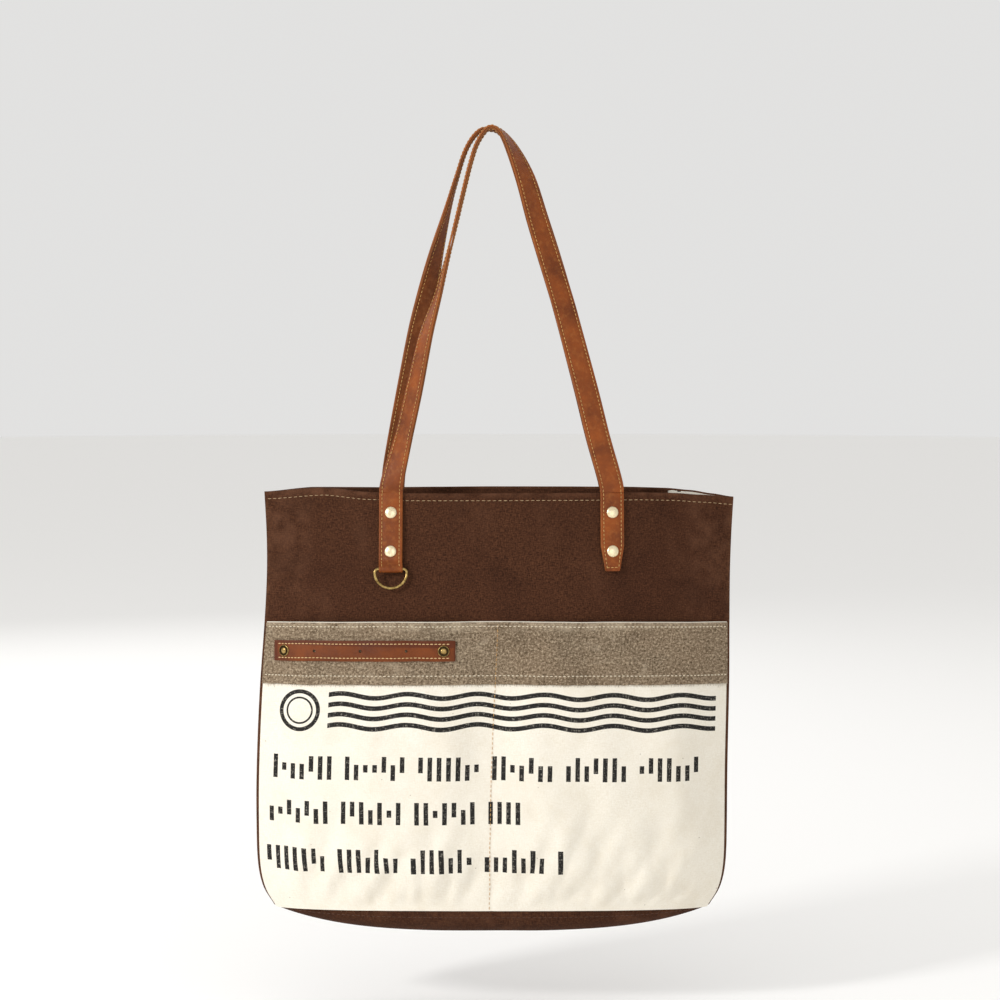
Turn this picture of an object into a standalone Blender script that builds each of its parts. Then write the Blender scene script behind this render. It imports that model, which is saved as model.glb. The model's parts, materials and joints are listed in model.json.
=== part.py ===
"""Canvas mail tote hanging by its two leather handles.

Metres, +Z up, -Y is the pocket side. The origin is the underside of the handles' crown,
where a hook's arm holds them. The bag's middle lies a little to the right of the crown.
"""

import math

import bmesh
import bpy
from mathutils import Matrix, Vector

# Bag body: height, half width, half depth and squareness of its outline, from mouth to base seam
BAG_X = 0.0085
MOUTH_Z = -0.305
BAND_TOP_Z = -0.4165
POCKET_TOP_Z = -0.4158
BAND_LOW_Z = -0.4685
FULL_SLACK_Z = -0.5300
LOW_SLACK_Z = -0.6235
SEAM_Z = -0.6600
OUTLINE = [
    (MOUTH_Z, 0.1990, 0.0210, 1.00),
    (-0.3740, 0.1985, 0.0350, 1.02),
    (POCKET_TOP_Z, 0.1985, 0.0415, 1.05),
    (BAND_LOW_Z, 0.1990, 0.0445, 1.12),
    (FULL_SLACK_Z, 0.2000, 0.0465, 1.20),
    (-0.5900, 0.2030, 0.0480, 1.33),
    (LOW_SLACK_Z, 0.2020, 0.0486, 1.42),
    (-0.6450, 0.1970, 0.0489, 1.50),
    (SEAM_Z, 0.1860, 0.0490, 1.60),
]
LENS_POWER = 2.4
SIDE_GAP = 0.0002
COLUMNS = [0.012, 0.152, 0.30, 0.46, 0.60, 0.73, 0.845, 0.92, 0.96, 0.985, 1.0]

# Cloth layers, measured outward from the body's outer face
GAP = 0.0003
CANVAS = 0.0012
LINING_INNER, LINING_OUTER = -0.0028, -0.0020
LINING_EDGE = 0.985
POCKET_INNER, POCKET_OUTER = 0.0004, 0.0014
BAND_INNER, BAND_OUTER = 0.0018, 0.0028
STRIP_INNER, STRIP_OUTER = 0.0032, 0.0052

# Slack of the two pockets, between the side seams and the middle seam
POCKET_EDGE = 0.985
POCKET_SEAM = 0.012
POCKET_RISE = 0.14
POCKET_SLACK = 0.0110
POCKET_MOUTH_SLACK = 0.0090

# Base
BASE_SAG = 0.0155
BASE_THICK = 0.0017
BASE_FLAT = 0.55
BASE_RINGS = [1.0, 0.88, 0.72, BASE_FLAT]

# Straps
STRAP_WIDTH = 0.020
STRAP_THICK = 0.0030
LAYER_GAP = 0.0003
PIVOT_Z = -0.3040
PIVOT_GAP = 0.0004
CROWN_Y = 0.0105
STRAP_STEPS = 2
TAB_LEFT_X = -0.0823
TAB_RIGHT_X = 0.1037
TAB_END_Z = -0.3700
TAPER_Z = -0.3490
TIP_HALF = 0.0062

# Height and sideways place of each handle's middle line, with its turn from face-on, in degrees
FRONT_PATH = [
    (-0.0823, -0.3036, 0), (-0.0821, -0.2990, 8), (-0.0790, -0.2850, 26), (-0.0718, -0.2580, 46),
    (-0.0630, -0.2190, 50), (-0.0525, -0.1710, 62), (-0.0430, -0.1400, 78), (-0.0352, -0.1090, 86),
    (-0.0290, -0.0840, 90), (-0.0220, -0.0550, 90), (-0.0150, -0.0270, 90), (-0.0090, -0.0100, 90),
    (0.0000, 0.0015, 90), (0.0090, -0.0010, 84), (0.0185, -0.0140, 66), (0.0300, -0.0400, 44),
    (0.0400, -0.0740, 34), (0.0495, -0.1040, 27), (0.0615, -0.1420, 20), (0.0695, -0.1710, 17),
    (0.0825, -0.2190, 13), (0.0922, -0.2580, 8), (0.1005, -0.2870, 3), (0.1035, -0.2990, 0),
    (0.1037, -0.3036, 0),
]
BACK_PATH = [
    (-0.0823, -0.3036, 0), (-0.0822, -0.2990, 2), (-0.0808, -0.2850, 6), (-0.0762, -0.2580, 10),
    (-0.0690, -0.2190, 15), (-0.0598, -0.1710, 22), (-0.0528, -0.1400, 34), (-0.0450, -0.1040, 60),
    (-0.0345, -0.0640, 82), (-0.0275, -0.0400, 88), (-0.0190, -0.0150, 90), (-0.0090, -0.0010, 90),
    (0.0010, 0.0015, 90), (0.0100, -0.0015, 86), (0.0200, -0.0140, 72), (0.0320, -0.0400, 52),
    (0.0420, -0.0740, 38), (0.0510, -0.1040, 28), (0.0620, -0.1420, 20), (0.0700, -0.1710, 16),
    (0.0825, -0.2190, 12), (0.0922, -0.2580, 7), (0.1005, -0.2870, 3), (0.1035, -0.2990, 0),
    (0.1037, -0.3036, 0),
]

# Rivets and studs
RIVET_HEIGHTS = {"upper": -0.3215, "lower": -0.3535}
RIVET_HALF = 0.0050
RIVET_DOME = 0.0015
POST_HALF = 0.0013
SLEEVE_INNER = 0.0016
SLEEVE_HALF = 0.0021
HOLE_HALF = 0.0024
ROUND_STEPS = 12
STUD_Z = -0.4398
STUD_XS = {"left": -0.1740, "right": -0.0378}

# Leather strip on the pocket band
STRIP_TOP_Z = -0.4306
STRIP_LOW_Z = -0.4489
STRIP_LEFT = -0.9560
STRIP_RIGHT = -0.1830

# D-ring in the fold of the front left strap end
RING_Z = -0.3675
RING_WIRE = 0.00125
RING_TUNNEL = 0.00165
RING_FOLD = 0.0031
RING_HALF = 0.01345
RING_DROP = 0.0162
RING_LEAN = math.radians(11.0)

# Zip closure inside the mouth
ZIP_HALF = 0.1440
ZIP_TOP_Z = -0.3085
ZIP_LOW_Z = -0.3340
ZIP_LINE_Y = 0.0070
TAPE_THICK = 0.0008
TEETH_THICK = 0.0030
TEETH_HEIGHT = 0.0024
SLIDER_LENGTH = 0.0120
SLIDER_WALL = 0.0010
PULL_LENGTH = 0.0260
PULL_WIDTH = 0.0060
PULL_THICK = 0.0012
PULL_DROP = 0.0006

FRONT, BACK = -1, 1


def to_linear(hex_colour):
    """Linear RGB of an sRGB hex colour."""
    values = []
    for start in (0, 2, 4):
        c = int(hex_colour[start:start + 2], 16) / 255
        values.append(c / 12.92 if c <= 0.04045 else ((c + 0.055) / 1.055) ** 2.4)
    return values


def make_material(name, hex_colour, roughness, metallic=0.0):
    mat = bpy.data.materials.new(name)
    mat.use_nodes = True
    shader = mat.node_tree.nodes["Principled BSDF"]
    shader.inputs["Base Color"].default_value = (*to_linear(hex_colour), 1.0)
    shader.inputs["Roughness"].default_value = roughness
    shader.inputs["Metallic"].default_value = metallic
    return mat


def clear_scene():
    for obj in list(bpy.data.objects):
        bpy.data.objects.remove(obj, do_unlink=True)


def finish_mesh(name, bm, mat, smooth=False):
    """Turn a bmesh into a named object with outward faces."""
    bmesh.ops.recalc_face_normals(bm, faces=bm.faces[:])
    mesh = bpy.data.meshes.new(name)
    bm.to_mesh(mesh)
    bm.free()
    if smooth:
        mesh.shade_smooth()
        mesh.set_sharp_from_angle(angle=math.radians(35))
    obj = bpy.data.objects.new(name, mesh)
    bpy.context.scene.collection.objects.link(obj)
    if mat is not None:
        mesh.materials.append(mat)
    return obj


def hide_helper(obj):
    obj.hide_render = True
    obj.display_type = "WIRE"
    return obj


# ---------------------------------------------------------------- the bag's outer face

def sizes_at(z):
    """Half width, half depth and squareness of the bag at one height."""
    for upper, lower in zip(OUTLINE, OUTLINE[1:]):
        if z >= lower[0]:
            t = (upper[0] - z) / (upper[0] - lower[0])
            return [a + (b - a) * t for a, b in zip(upper[1:], lower[1:])]
    return list(OUTLINE[-1][1:])


def slack_at(u, z):
    """How far a pocket stands off the bag between its seams."""
    reach = min(POCKET_EDGE - abs(u), abs(u) - POCKET_SEAM)
    across = max(0.0, min(1.0, reach / POCKET_RISE))
    lower = min(1.0, (POCKET_TOP_Z - z) / (POCKET_TOP_Z - FULL_SLACK_Z))
    most = POCKET_MOUTH_SLACK + (POCKET_SLACK - POCKET_MOUTH_SLACK) * lower
    return most * across * min(1.0, (z - SEAM_Z) / (LOW_SLACK_Z - SEAM_Z))


def wall_point(side, u, z, out, swell=False):
    """A point at share u of the width, out metres outside the bag's outer face."""
    half_width, half_depth, square = sizes_at(z)
    y = (half_depth + out) * max(0.0, 1 - abs(u) ** LENS_POWER) ** (1 / square)
    if swell:
        y += slack_at(u, z)
    return Vector((BAG_X + u * (half_width + out), side * max(y, SIDE_GAP), z))


def face_point(side, x, z, out, swell=False):
    """A point straight in front of the bag's face at a given x."""
    half_width = sizes_at(z)[0]
    spot = wall_point(side, (x - BAG_X) / half_width, z, 0.0, swell)
    return Vector((x, spot.y + side * out, z))


def face_frame(side, x, z, out, swell=False):
    """Placement with +Z along the outward normal, out metres off the face."""
    step = 0.002
    across = face_point(side, x + step, z, 0, swell) - face_point(side, x - step, z, 0, swell)
    up = face_point(side, x, z + step, 0, swell) - face_point(side, x, z - step, 0, swell)
    normal = across.cross(up).normalized() * -side
    turn = Vector((0, 0, 1)).rotation_difference(normal).to_matrix().to_4x4()
    spot = face_point(side, x, z, 0, swell) + normal * out
    return Matrix.Translation(spot) @ turn


# ---------------------------------------------------------------- solids from point grids

def grid_solid(name, inner, outer, mat):
    """Closed slab between two equal grids of points, with one diagonal rule for all layers."""
    bm = bmesh.new()
    sheets = [[[bm.verts.new(p) for p in row] for row in grid] for grid in (inner, outer)]
    rows, cols = len(inner), len(inner[0])
    for sheet in sheets:
        for r in range(rows - 1):
            for c in range(cols - 1):
                corner = sheet[r + 1][c + 1]
                bm.faces.new((sheet[r][c], sheet[r][c + 1], corner))
                bm.faces.new((sheet[r][c], corner, sheet[r + 1][c]))
    rim = [(0, c) for c in range(cols)] + [(r, cols - 1) for r in range(1, rows)]
    rim += [(rows - 1, c) for c in range(cols - 2, -1, -1)] + [(r, 0) for r in range(rows - 2, 0, -1)]
    a, b = sheets
    for (r0, c0), (r1, c1) in zip(rim, rim[1:] + rim[:1]):
        bm.faces.new((a[r0][c0], a[r1][c1], b[r1][c1], b[r0][c0]))
    return finish_mesh(name, bm, mat, smooth=True)


def share_columns(low, high):
    """Shared column places between two shares of the width, ends included."""
    both = sorted(set([-u for u in COLUMNS] + COLUMNS))
    return [low] + [u for u in both if low + 0.006 < u < high - 0.006] + [high]


def share_rows(top, low):
    """Shared heights between two heights, ends included."""
    levels = [row[0] for row in OUTLINE]
    return [top] + [z for z in levels if low + 0.0008 < z < top - 0.0008] + [low]


def wall_piece(name, side, left, right, top, low, inner, outer, mat, swell=False):
    """A cloth layer that follows the bag's face."""
    cols = share_columns(left, right)
    grids = [
        [[wall_point(side, u, z, out, swell) for u in cols] for z in share_rows(top, low)]
        for out in (inner, outer)
    ]
    return grid_solid(name, grids[0], grids[1], mat)


def base_piece(name, inset, lift, mat):
    """Boat-shaped base cloth: a flat middle that curves up to the seam."""
    half_width, half_depth, square = sizes_at(SEAM_Z)
    shares = sorted(set([-u for u in COLUMNS if u < 1] + COLUMNS[:-1]))
    outline = [(u, -1) for u in [-1.0] + shares + [1.0]] + [(u, 1) for u in reversed(shares)]
    bm = bmesh.new()
    skins = []
    for thick in (BASE_THICK, 0.0):
        rings = []
        for ring in BASE_RINGS:
            sag = BASE_SAG * (1 - max(0.0, (ring - BASE_FLAT) / (1 - BASE_FLAT)) ** 2)
            z = SEAM_Z - GAP - sag - thick + lift
            points = []
            for u, side in outline:
                y = (half_depth - inset) * (1 - abs(u) ** LENS_POWER) ** (1 / square)
                points.append(bm.verts.new((BAG_X + u * ring * (half_width - inset), side * ring * y, z)))
            rings.append(points)
        bm.faces.new(rings[-1])
        for wide, narrow in zip(rings, rings[1:]):
            join_loops(bm, wide, narrow)
        skins.append(rings)
    join_loops(bm, skins[0][0], skins[1][0])
    return finish_mesh(name, bm, mat, smooth=True)


def join_loops(bm, first, second):
    """Band of faces between two closed loops with the same count."""
    count = len(first)
    for i in range(count):
        j = (i + 1) % count
        bm.faces.new((first[i], first[j], second[j], second[i]))


def turned(name, profile, place, mat):
    """Solid of revolution about local Z; the profile runs from axis to axis."""
    bm = bmesh.new()
    rings = []
    for radius, height in profile:
        if radius == 0:
            rings.append([bm.verts.new(place @ Vector((0, 0, height)))])
            continue
        angles = [2 * math.pi * i / ROUND_STEPS for i in range(ROUND_STEPS)]
        ring = [place @ Vector((radius * math.cos(a), radius * math.sin(a), height)) for a in angles]
        rings.append([bm.verts.new(p) for p in ring])
    for first, second in zip(rings, rings[1:]):
        if len(first) == 1 or len(second) == 1:
            pole, loop = (first[0], second) if len(first) == 1 else (second[0], first)
            for i in range(ROUND_STEPS):
                bm.faces.new((pole, loop[i], loop[(i + 1) % ROUND_STEPS]))
        else:
            join_loops(bm, first, second)
    return finish_mesh(name, bm, mat, smooth=True)


def prism_x(name, profile, x0, x1, mat):
    """A profile in Y and Z, pushed along X."""
    bm = bmesh.new()
    ends = [[bm.verts.new((x, y, z)) for y, z in profile] for x in (x0, x1)]
    bm.faces.new(ends[0])
    bm.faces.new(ends[1])
    join_loops(bm, ends[0], ends[1])
    return finish_mesh(name, bm, mat)


def rod_x(name, radius, x0, x1, y, z, mat):
    steps = [2 * math.pi * i / ROUND_STEPS for i in range(ROUND_STEPS)]
    profile = [(y + radius * math.cos(a), z + radius * math.sin(a)) for a in steps]
    return prism_x(name, profile, x0, x1, mat)


def cut(target, cutter, operation="DIFFERENCE"):
    mod = target.modifiers.new(cutter.name, "BOOLEAN")
    mod.operation = operation
    mod.object = cutter


# ---------------------------------------------------------------- straps

def smooth_path(points):
    """Catmull-Rom points through a list of equal-length tuples."""
    path = []
    last = len(points) - 1
    for i in range(last):
        p0, p1, p2, p3 = (points[max(0, min(last, i + k))] for k in (-1, 0, 1, 2))
        for step in range(STRAP_STEPS):
            t = step / STRAP_STEPS
            path.append(tuple(
                0.5 * (2 * b + (c - a) * t + (2 * a - 5 * b + 4 * c - d) * t * t
                       + (3 * b - a - 3 * c + d) * t ** 3)
                for a, b, c, d in zip(p0, p1, p2, p3)))
    path.append(points[-1])
    return path


def strap_frames(side, points, foot_y):
    """Centre, width direction and outer normal along a handle."""
    path = smooth_path(points)
    spots = []
    for x, z, turn in path:
        share = min(1.0, max(0.0, z / PIVOT_Z))
        y = side * (CROWN_Y + (foot_y - CROWN_Y) * share)
        spots.append((Vector((x, y, z)), math.radians(turn)))
    frames = []
    for i, (spot, turn) in enumerate(spots):
        if i in (0, len(spots) - 1):
            along = Vector((0, 0, 1 if i == 0 else -1))
        else:
            along = (spots[i + 1][0] - spots[i - 1][0]).normalized()
        outside = Vector((-along.z, 0, along.x))
        normal = math.cos(turn) * Vector((0, side, 0)) + math.sin(turn) * outside
        width = along.cross(normal).normalized()
        frames.append((spot, width, width.cross(along).normalized()))
    return frames


def strap_layer(name, frames, low, high, mat):
    """One leather layer between two distances from the strap's middle."""
    half = STRAP_WIDTH / 2
    grids = [
        [[spot + width * s * half + normal * out for s in (-1, 1)] for spot, width, normal in frames]
        for out in (low, high)
    ]
    return grid_solid(name, grids[0], grids[1], mat)


def pivot_y(side):
    """Just in front of the foremost edge of the strap ends."""
    x = TAB_LEFT_X + STRAP_WIDTH / 2
    return face_point(side, x, PIVOT_Z, STRAP_THICK + GAP + 0.0004).y


def make_handle(name, side, points, pivot, leather, suede):
    middle = (TAB_LEFT_X + TAB_RIGHT_X) / 2
    foot = face_point(side, TAB_LEFT_X, PIVOT_Z, GAP + STRAP_THICK / 2)
    frames = strap_frames(side, points, abs(foot.y))
    half, slit = STRAP_THICK / 2, LAYER_GAP / 2
    outer = strap_layer(name + "_handle_outer", frames, slit, half, leather)
    inner = strap_layer(name + "_handle_inner", frames, -half, -slit, suede)
    hinge = bpy.data.objects.new(name + "_handle_pivot", None)
    bpy.context.scene.collection.objects.link(hinge)
    hinge.location = (middle, pivot, PIVOT_Z)
    for obj in (outer, inner):
        obj.parent = hinge
        obj.matrix_parent_inverse = Matrix.Translation((-middle, -pivot, -PIVOT_Z))


def strap_tab(name, side, x, tapered, mat):
    """Riveted strap end on the bag's face."""
    half = STRAP_WIDTH / 2
    rows = [(PIVOT_Z - PIVOT_GAP, half), (-0.3270, half), (TAPER_Z, half)]
    if tapered:
        rows += [(-0.3600, half * 0.86), (TAB_END_Z + 0.002, TIP_HALF), (TAB_END_Z, TIP_HALF - 0.002)]
    else:
        rows += [(RING_Z, half)]
    grids = [
        [[face_point(side, x + s * w, z, out) for s in (-1, 0, 1)] for z, w in rows]
        for out in (GAP, GAP + STRAP_THICK)
    ]
    return grid_solid(name, grids[0], grids[1], mat)


def ring_fold(tab, mat):
    """Fold of leather round the D-ring's bar, with a tunnel for the bar."""
    y = ring_y()
    half = STRAP_WIDTH / 2
    fold = rod_x("fold_guide", RING_FOLD, TAB_LEFT_X - half, TAB_LEFT_X + half, y, RING_Z, mat)
    tunnel = rod_x("tunnel_guide", RING_TUNNEL, TAB_LEFT_X - half * 2, TAB_LEFT_X + half * 2, y, RING_Z, None)
    cut(tab, hide_helper(fold), "UNION")
    cut(tab, hide_helper(tunnel))


def ring_y():
    """Middle of the D-ring's bar, clear of the bag's face."""
    x = TAB_LEFT_X + STRAP_WIDTH / 2
    return face_point(FRONT, x, RING_Z, GAP + RING_FOLD + 0.0004).y


def make_d_ring(mat):
    """Round wire bent into a D: a straight bar above, a bow below."""
    corner = 0.0030
    bow = RING_HALF - corner
    path = [(-bow, 0.0), (-bow / 3, 0.0), (bow / 3, 0.0), (bow, 0.0)]
    for k in range(1, 4):
        a = math.radians(90 - 30 * k)
        path.append((bow + corner * math.cos(a), -corner + corner * math.sin(a)))
    for k in range(1, 12):
        a = math.radians(15 * k)
        path.append((RING_HALF * math.cos(a), -corner - (RING_DROP - corner) * math.sin(a)))
    for k in range(0, 3):
        a = math.radians(180 - 30 * k)
        path.append((-bow + corner * math.cos(a), -corner + corner * math.sin(a)))
    place = Matrix.Rotation(-RING_LEAN, 4, "X")
    bm = bmesh.new()
    loops = []
    sides = 8
    for i, (x, z) in enumerate(path):
        before, after = Vector(path[i - 1]), Vector(path[(i + 1) % len(path)])
        along = (after - before).normalized()
        out = Vector((along.y, 0, -along.x))
        ring = []
        for k in range(sides):
            a = 2 * math.pi * k / sides
            point = Vector((x, 0, z)) + (out * math.cos(a) + Vector((0, 1, 0)) * math.sin(a)) * RING_WIRE
            ring.append(bm.verts.new(place @ point))
        loops.append(ring)
    for first, second in zip(loops, loops[1:] + loops[:1]):
        join_loops(bm, first, second)
    ring = finish_mesh("d_ring", bm, mat, smooth=True)
    ring.location = (TAB_LEFT_X, ring_y(), RING_Z)


# ---------------------------------------------------------------- rivets and studs

def rivet_pair(name, place, stack, brass):
    """Domed cap with a post, and a domed back with a sleeve, set through a stack of cloth."""
    cap = [
        (0, RIVET_DOME), (RIVET_HALF * 0.62, RIVET_DOME * 0.78), (RIVET_HALF, RIVET_DOME * 0.2),
        (RIVET_HALF, 0), (POST_HALF, 0), (POST_HALF, GAP - stack), (0, GAP - stack),
    ]
    turned(name + "_cap", cap, place, brass)
    back = [
        (0, -stack - RIVET_DOME), (RIVET_HALF * 0.62, -stack - RIVET_DOME * 0.78),
        (RIVET_HALF * 0.9, -stack - RIVET_DOME * 0.2), (RIVET_HALF * 0.9, -stack),
        (SLEEVE_HALF, -stack), (SLEEVE_HALF, -2 * GAP), (SLEEVE_INNER, -2 * GAP),
        (SLEEVE_INNER, -stack), (0, -stack),
    ]
    turned(name + "_back", back, place, brass)


def hole_cutter(name, places, depth):
    """Round punches for a set of rivets, joined in one guide."""
    bm = bmesh.new()
    for place in places:
        rings = []
        for height in (0.003, -depth):
            angles = [2 * math.pi * i / ROUND_STEPS for i in range(ROUND_STEPS)]
            ring = [place @ Vector((HOLE_HALF * math.cos(a), HOLE_HALF * math.sin(a), height)) for a in angles]
            rings.append([bm.verts.new(p) for p in ring])
        bm.faces.new(rings[0])
        bm.faces.new(rings[1])
        join_loops(bm, rings[0], rings[1])
    return hide_helper(finish_mesh(name, bm, None))


def rivet_strap_ends(side, label, layers, brass):
    """Two rivets in each strap end of one face, through all its layers."""
    out = STRAP_THICK + 2 * GAP
    stack = out - LINING_INNER + GAP * 2
    places = []
    for where, x in (("left", TAB_LEFT_X), ("right", TAB_RIGHT_X)):
        for level, z in RIVET_HEIGHTS.items():
            place = face_frame(side, x, z, out)
            places.append(place)
            rivet_pair(f"{label}_{where}_{level}_rivet", place, stack, brass)
    punch = hole_cutter(label + "_rivet_punch", places, stack + 0.002)
    for layer in layers:
        cut(layer, punch)


def set_strip_studs(layers, brass):
    out = STRIP_OUTER + GAP + 0.0002
    stack = out - POCKET_INNER + 0.0006
    places = []
    for where, x in STUD_XS.items():
        place = face_frame(FRONT, x, STUD_Z, out, swell=True)
        places.append(place)
        rivet_pair(f"strip_{where}_stud", place, stack, brass)
    punch = hole_cutter("strip_stud_punch", places, stack + 0.002)
    for layer in layers:
        cut(layer, punch)


# ---------------------------------------------------------------- zip closure

def zip_side(side, label, canvas, brass):
    """Cloth flap from the lining down to a straight row of teeth."""
    columns = [-ZIP_HALF * k / 4 for k in range(4, 0, -1)] + [ZIP_HALF * k / 4 for k in range(5)]
    grids = []
    for out in (0.0, TAPE_THICK):
        rows = []
        for z, share in ((ZIP_TOP_Z, 0.0), (ZIP_TOP_Z - 0.004, 0.1), (ZIP_LOW_Z, 1.0)):
            row = []
            for x in columns:
                wall = abs(face_point(side, BAG_X + x, z, 0).y) + LINING_INNER - 0.0006
                y = wall + (ZIP_LINE_Y + TAPE_THICK - wall) * share
                row.append(Vector((BAG_X + x, side * (y - out), z)))
            rows.append(row)
        grids.append(rows)
    grid_solid(f"zip_flap_{label}", grids[0], grids[1], canvas)
    middle = side * (ZIP_LINE_Y + TAPE_THICK / 2)
    top = ZIP_LOW_Z - GAP
    profile = [
        (middle - TEETH_THICK / 2, top), (middle + TEETH_THICK / 2, top),
        (middle + TEETH_THICK / 2, top - TEETH_HEIGHT), (middle - TEETH_THICK / 2, top - TEETH_HEIGHT),
    ]
    prism_x(f"zip_teeth_{label}", profile, BAG_X - ZIP_HALF, BAG_X + ZIP_HALF, brass)


def zip_slider(brass):
    """Slider clasped round the front row of teeth, and its pull."""
    middle = -(ZIP_LINE_Y + TAPE_THICK / 2)
    top = ZIP_LOW_Z + 0.0012
    low = ZIP_LOW_Z - GAP - TEETH_HEIGHT - GAP
    room = TEETH_THICK / 2 + GAP
    half = room + SLIDER_WALL
    profile = [
        (middle - half, top), (middle - room, top), (middle - room, low), (middle + room, low),
        (middle + room, top), (middle + half, top), (middle + half, low - SLIDER_WALL),
        (middle - half, low - SLIDER_WALL),
    ]
    start = BAG_X - ZIP_HALF + 0.004
    prism_x("zip_slider", profile, start, start + SLIDER_LENGTH, brass)
    head = low - SLIDER_WALL - PULL_DROP
    near, far = middle - PULL_THICK / 2, middle + PULL_THICK / 2
    pull = [(near, head), (far, head), (far, head - PULL_LENGTH), (near, head - PULL_LENGTH)]
    inset = (SLIDER_LENGTH - PULL_WIDTH) / 2
    prism_x("zip_pull", pull, start + inset, start + inset + PULL_WIDTH, brass)


# ---------------------------------------------------------------- assembly

def build():
    clear_scene()
    brown = make_material("brown_waxed_canvas", "4A2D20", 0.78)
    taupe = make_material("taupe_washed_canvas", "877864", 0.9)
    cream = make_material("natural_cotton_canvas", "F4EEE0", 0.9)
    print_cloth = make_material("printed_lining_cotton", "D9D4C8", 0.85)
    leather = make_material("tan_leather", "98501F", 0.5)
    suede = make_material("tan_leather_flesh", "8A4A22", 0.7)
    brass = make_material("brushed_brass", "C9B27A", 0.35, 1.0)
    antique = make_material("antique_brass", "8E6F3E", 0.4, 1.0)

    panels = {}
    for side, label in ((FRONT, "front"), (BACK, "back")):
        panel = wall_piece(label + "_panel", side, -1, 1, MOUTH_Z, SEAM_Z, -CANVAS, 0, brown)
        lining = wall_piece(label + "_lining", side, -LINING_EDGE, LINING_EDGE, MOUTH_Z - 0.001,
                            SEAM_Z + 0.001, LINING_INNER, LINING_OUTER, print_cloth)
        panels[side] = [panel, lining]
    base_piece("base_panel", 0.0, 0.0, brown)
    base_piece("base_lining", 0.0045, BASE_THICK + GAP * 2, print_cloth)

    edge = POCKET_EDGE
    pocket = wall_piece("pocket_panel", FRONT, -edge, edge, POCKET_TOP_Z, SEAM_Z,
                        POCKET_INNER, POCKET_OUTER, cream, swell=True)
    band = wall_piece("pocket_band", FRONT, -edge, edge, BAND_TOP_Z, BAND_LOW_Z,
                      BAND_INNER, BAND_OUTER, taupe, swell=True)
    strip = wall_piece("leather_strip", FRONT, STRIP_LEFT, STRIP_RIGHT, STRIP_TOP_Z, STRIP_LOW_Z,
                       STRIP_INNER, STRIP_OUTER, leather, swell=True)
    set_strip_studs([pocket, band, strip], antique)

    front_left = strap_tab("front_left_strap_end", FRONT, TAB_LEFT_X, False, leather)
    ring_fold(front_left, leather)
    front_right = strap_tab("front_right_strap_end", FRONT, TAB_RIGHT_X, True, leather)
    back_left = strap_tab("back_left_strap_end", BACK, TAB_LEFT_X, True, leather)
    back_right = strap_tab("back_right_strap_end", BACK, TAB_RIGHT_X, True, leather)
    rivet_strap_ends(FRONT, "front", panels[FRONT] + [front_left, front_right], brass)
    rivet_strap_ends(BACK, "back", panels[BACK] + [back_left, back_right], brass)

    make_handle("front", FRONT, FRONT_PATH, pivot_y(FRONT), leather, suede)
    make_handle("back", BACK, BACK_PATH, pivot_y(BACK), leather, suede)
    make_d_ring(antique)

    for side, label in ((FRONT, "front"), (BACK, "back")):
        zip_side(side, label, brown, antique)
    zip_slider(antique)


build()
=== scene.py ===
import json
import math
import random

import bpy
from mathutils import Matrix, Vector, noise


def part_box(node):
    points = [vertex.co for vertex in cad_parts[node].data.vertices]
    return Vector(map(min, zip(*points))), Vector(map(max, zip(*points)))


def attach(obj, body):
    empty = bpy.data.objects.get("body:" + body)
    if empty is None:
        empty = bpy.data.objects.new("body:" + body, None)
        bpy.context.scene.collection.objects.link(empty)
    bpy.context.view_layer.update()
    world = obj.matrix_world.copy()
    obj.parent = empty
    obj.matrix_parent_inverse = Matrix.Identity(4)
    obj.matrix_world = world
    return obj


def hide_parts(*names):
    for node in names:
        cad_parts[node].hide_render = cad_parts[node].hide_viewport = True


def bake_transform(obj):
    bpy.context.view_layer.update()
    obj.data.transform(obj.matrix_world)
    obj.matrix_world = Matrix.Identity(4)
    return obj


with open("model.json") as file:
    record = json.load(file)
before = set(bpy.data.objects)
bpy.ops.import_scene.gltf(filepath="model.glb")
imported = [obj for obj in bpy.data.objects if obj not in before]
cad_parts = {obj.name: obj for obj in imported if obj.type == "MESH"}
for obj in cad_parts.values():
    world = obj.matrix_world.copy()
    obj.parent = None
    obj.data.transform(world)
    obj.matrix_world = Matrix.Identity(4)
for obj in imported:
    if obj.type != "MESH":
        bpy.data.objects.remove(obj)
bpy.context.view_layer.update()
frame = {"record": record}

random.seed(7)
front, back = -1, 1

# The bag's cut, from the frame's own heights

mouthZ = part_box("front_panel")[1].z
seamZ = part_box("front_panel")[0].z
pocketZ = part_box("pocket_panel")[1].z
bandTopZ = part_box("pocket_band")[1].z
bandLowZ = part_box("pocket_band")[0].z
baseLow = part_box("base_panel")[0].z
bagX = (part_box("front_panel")[0].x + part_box("front_panel")[1].x) / 2

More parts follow.
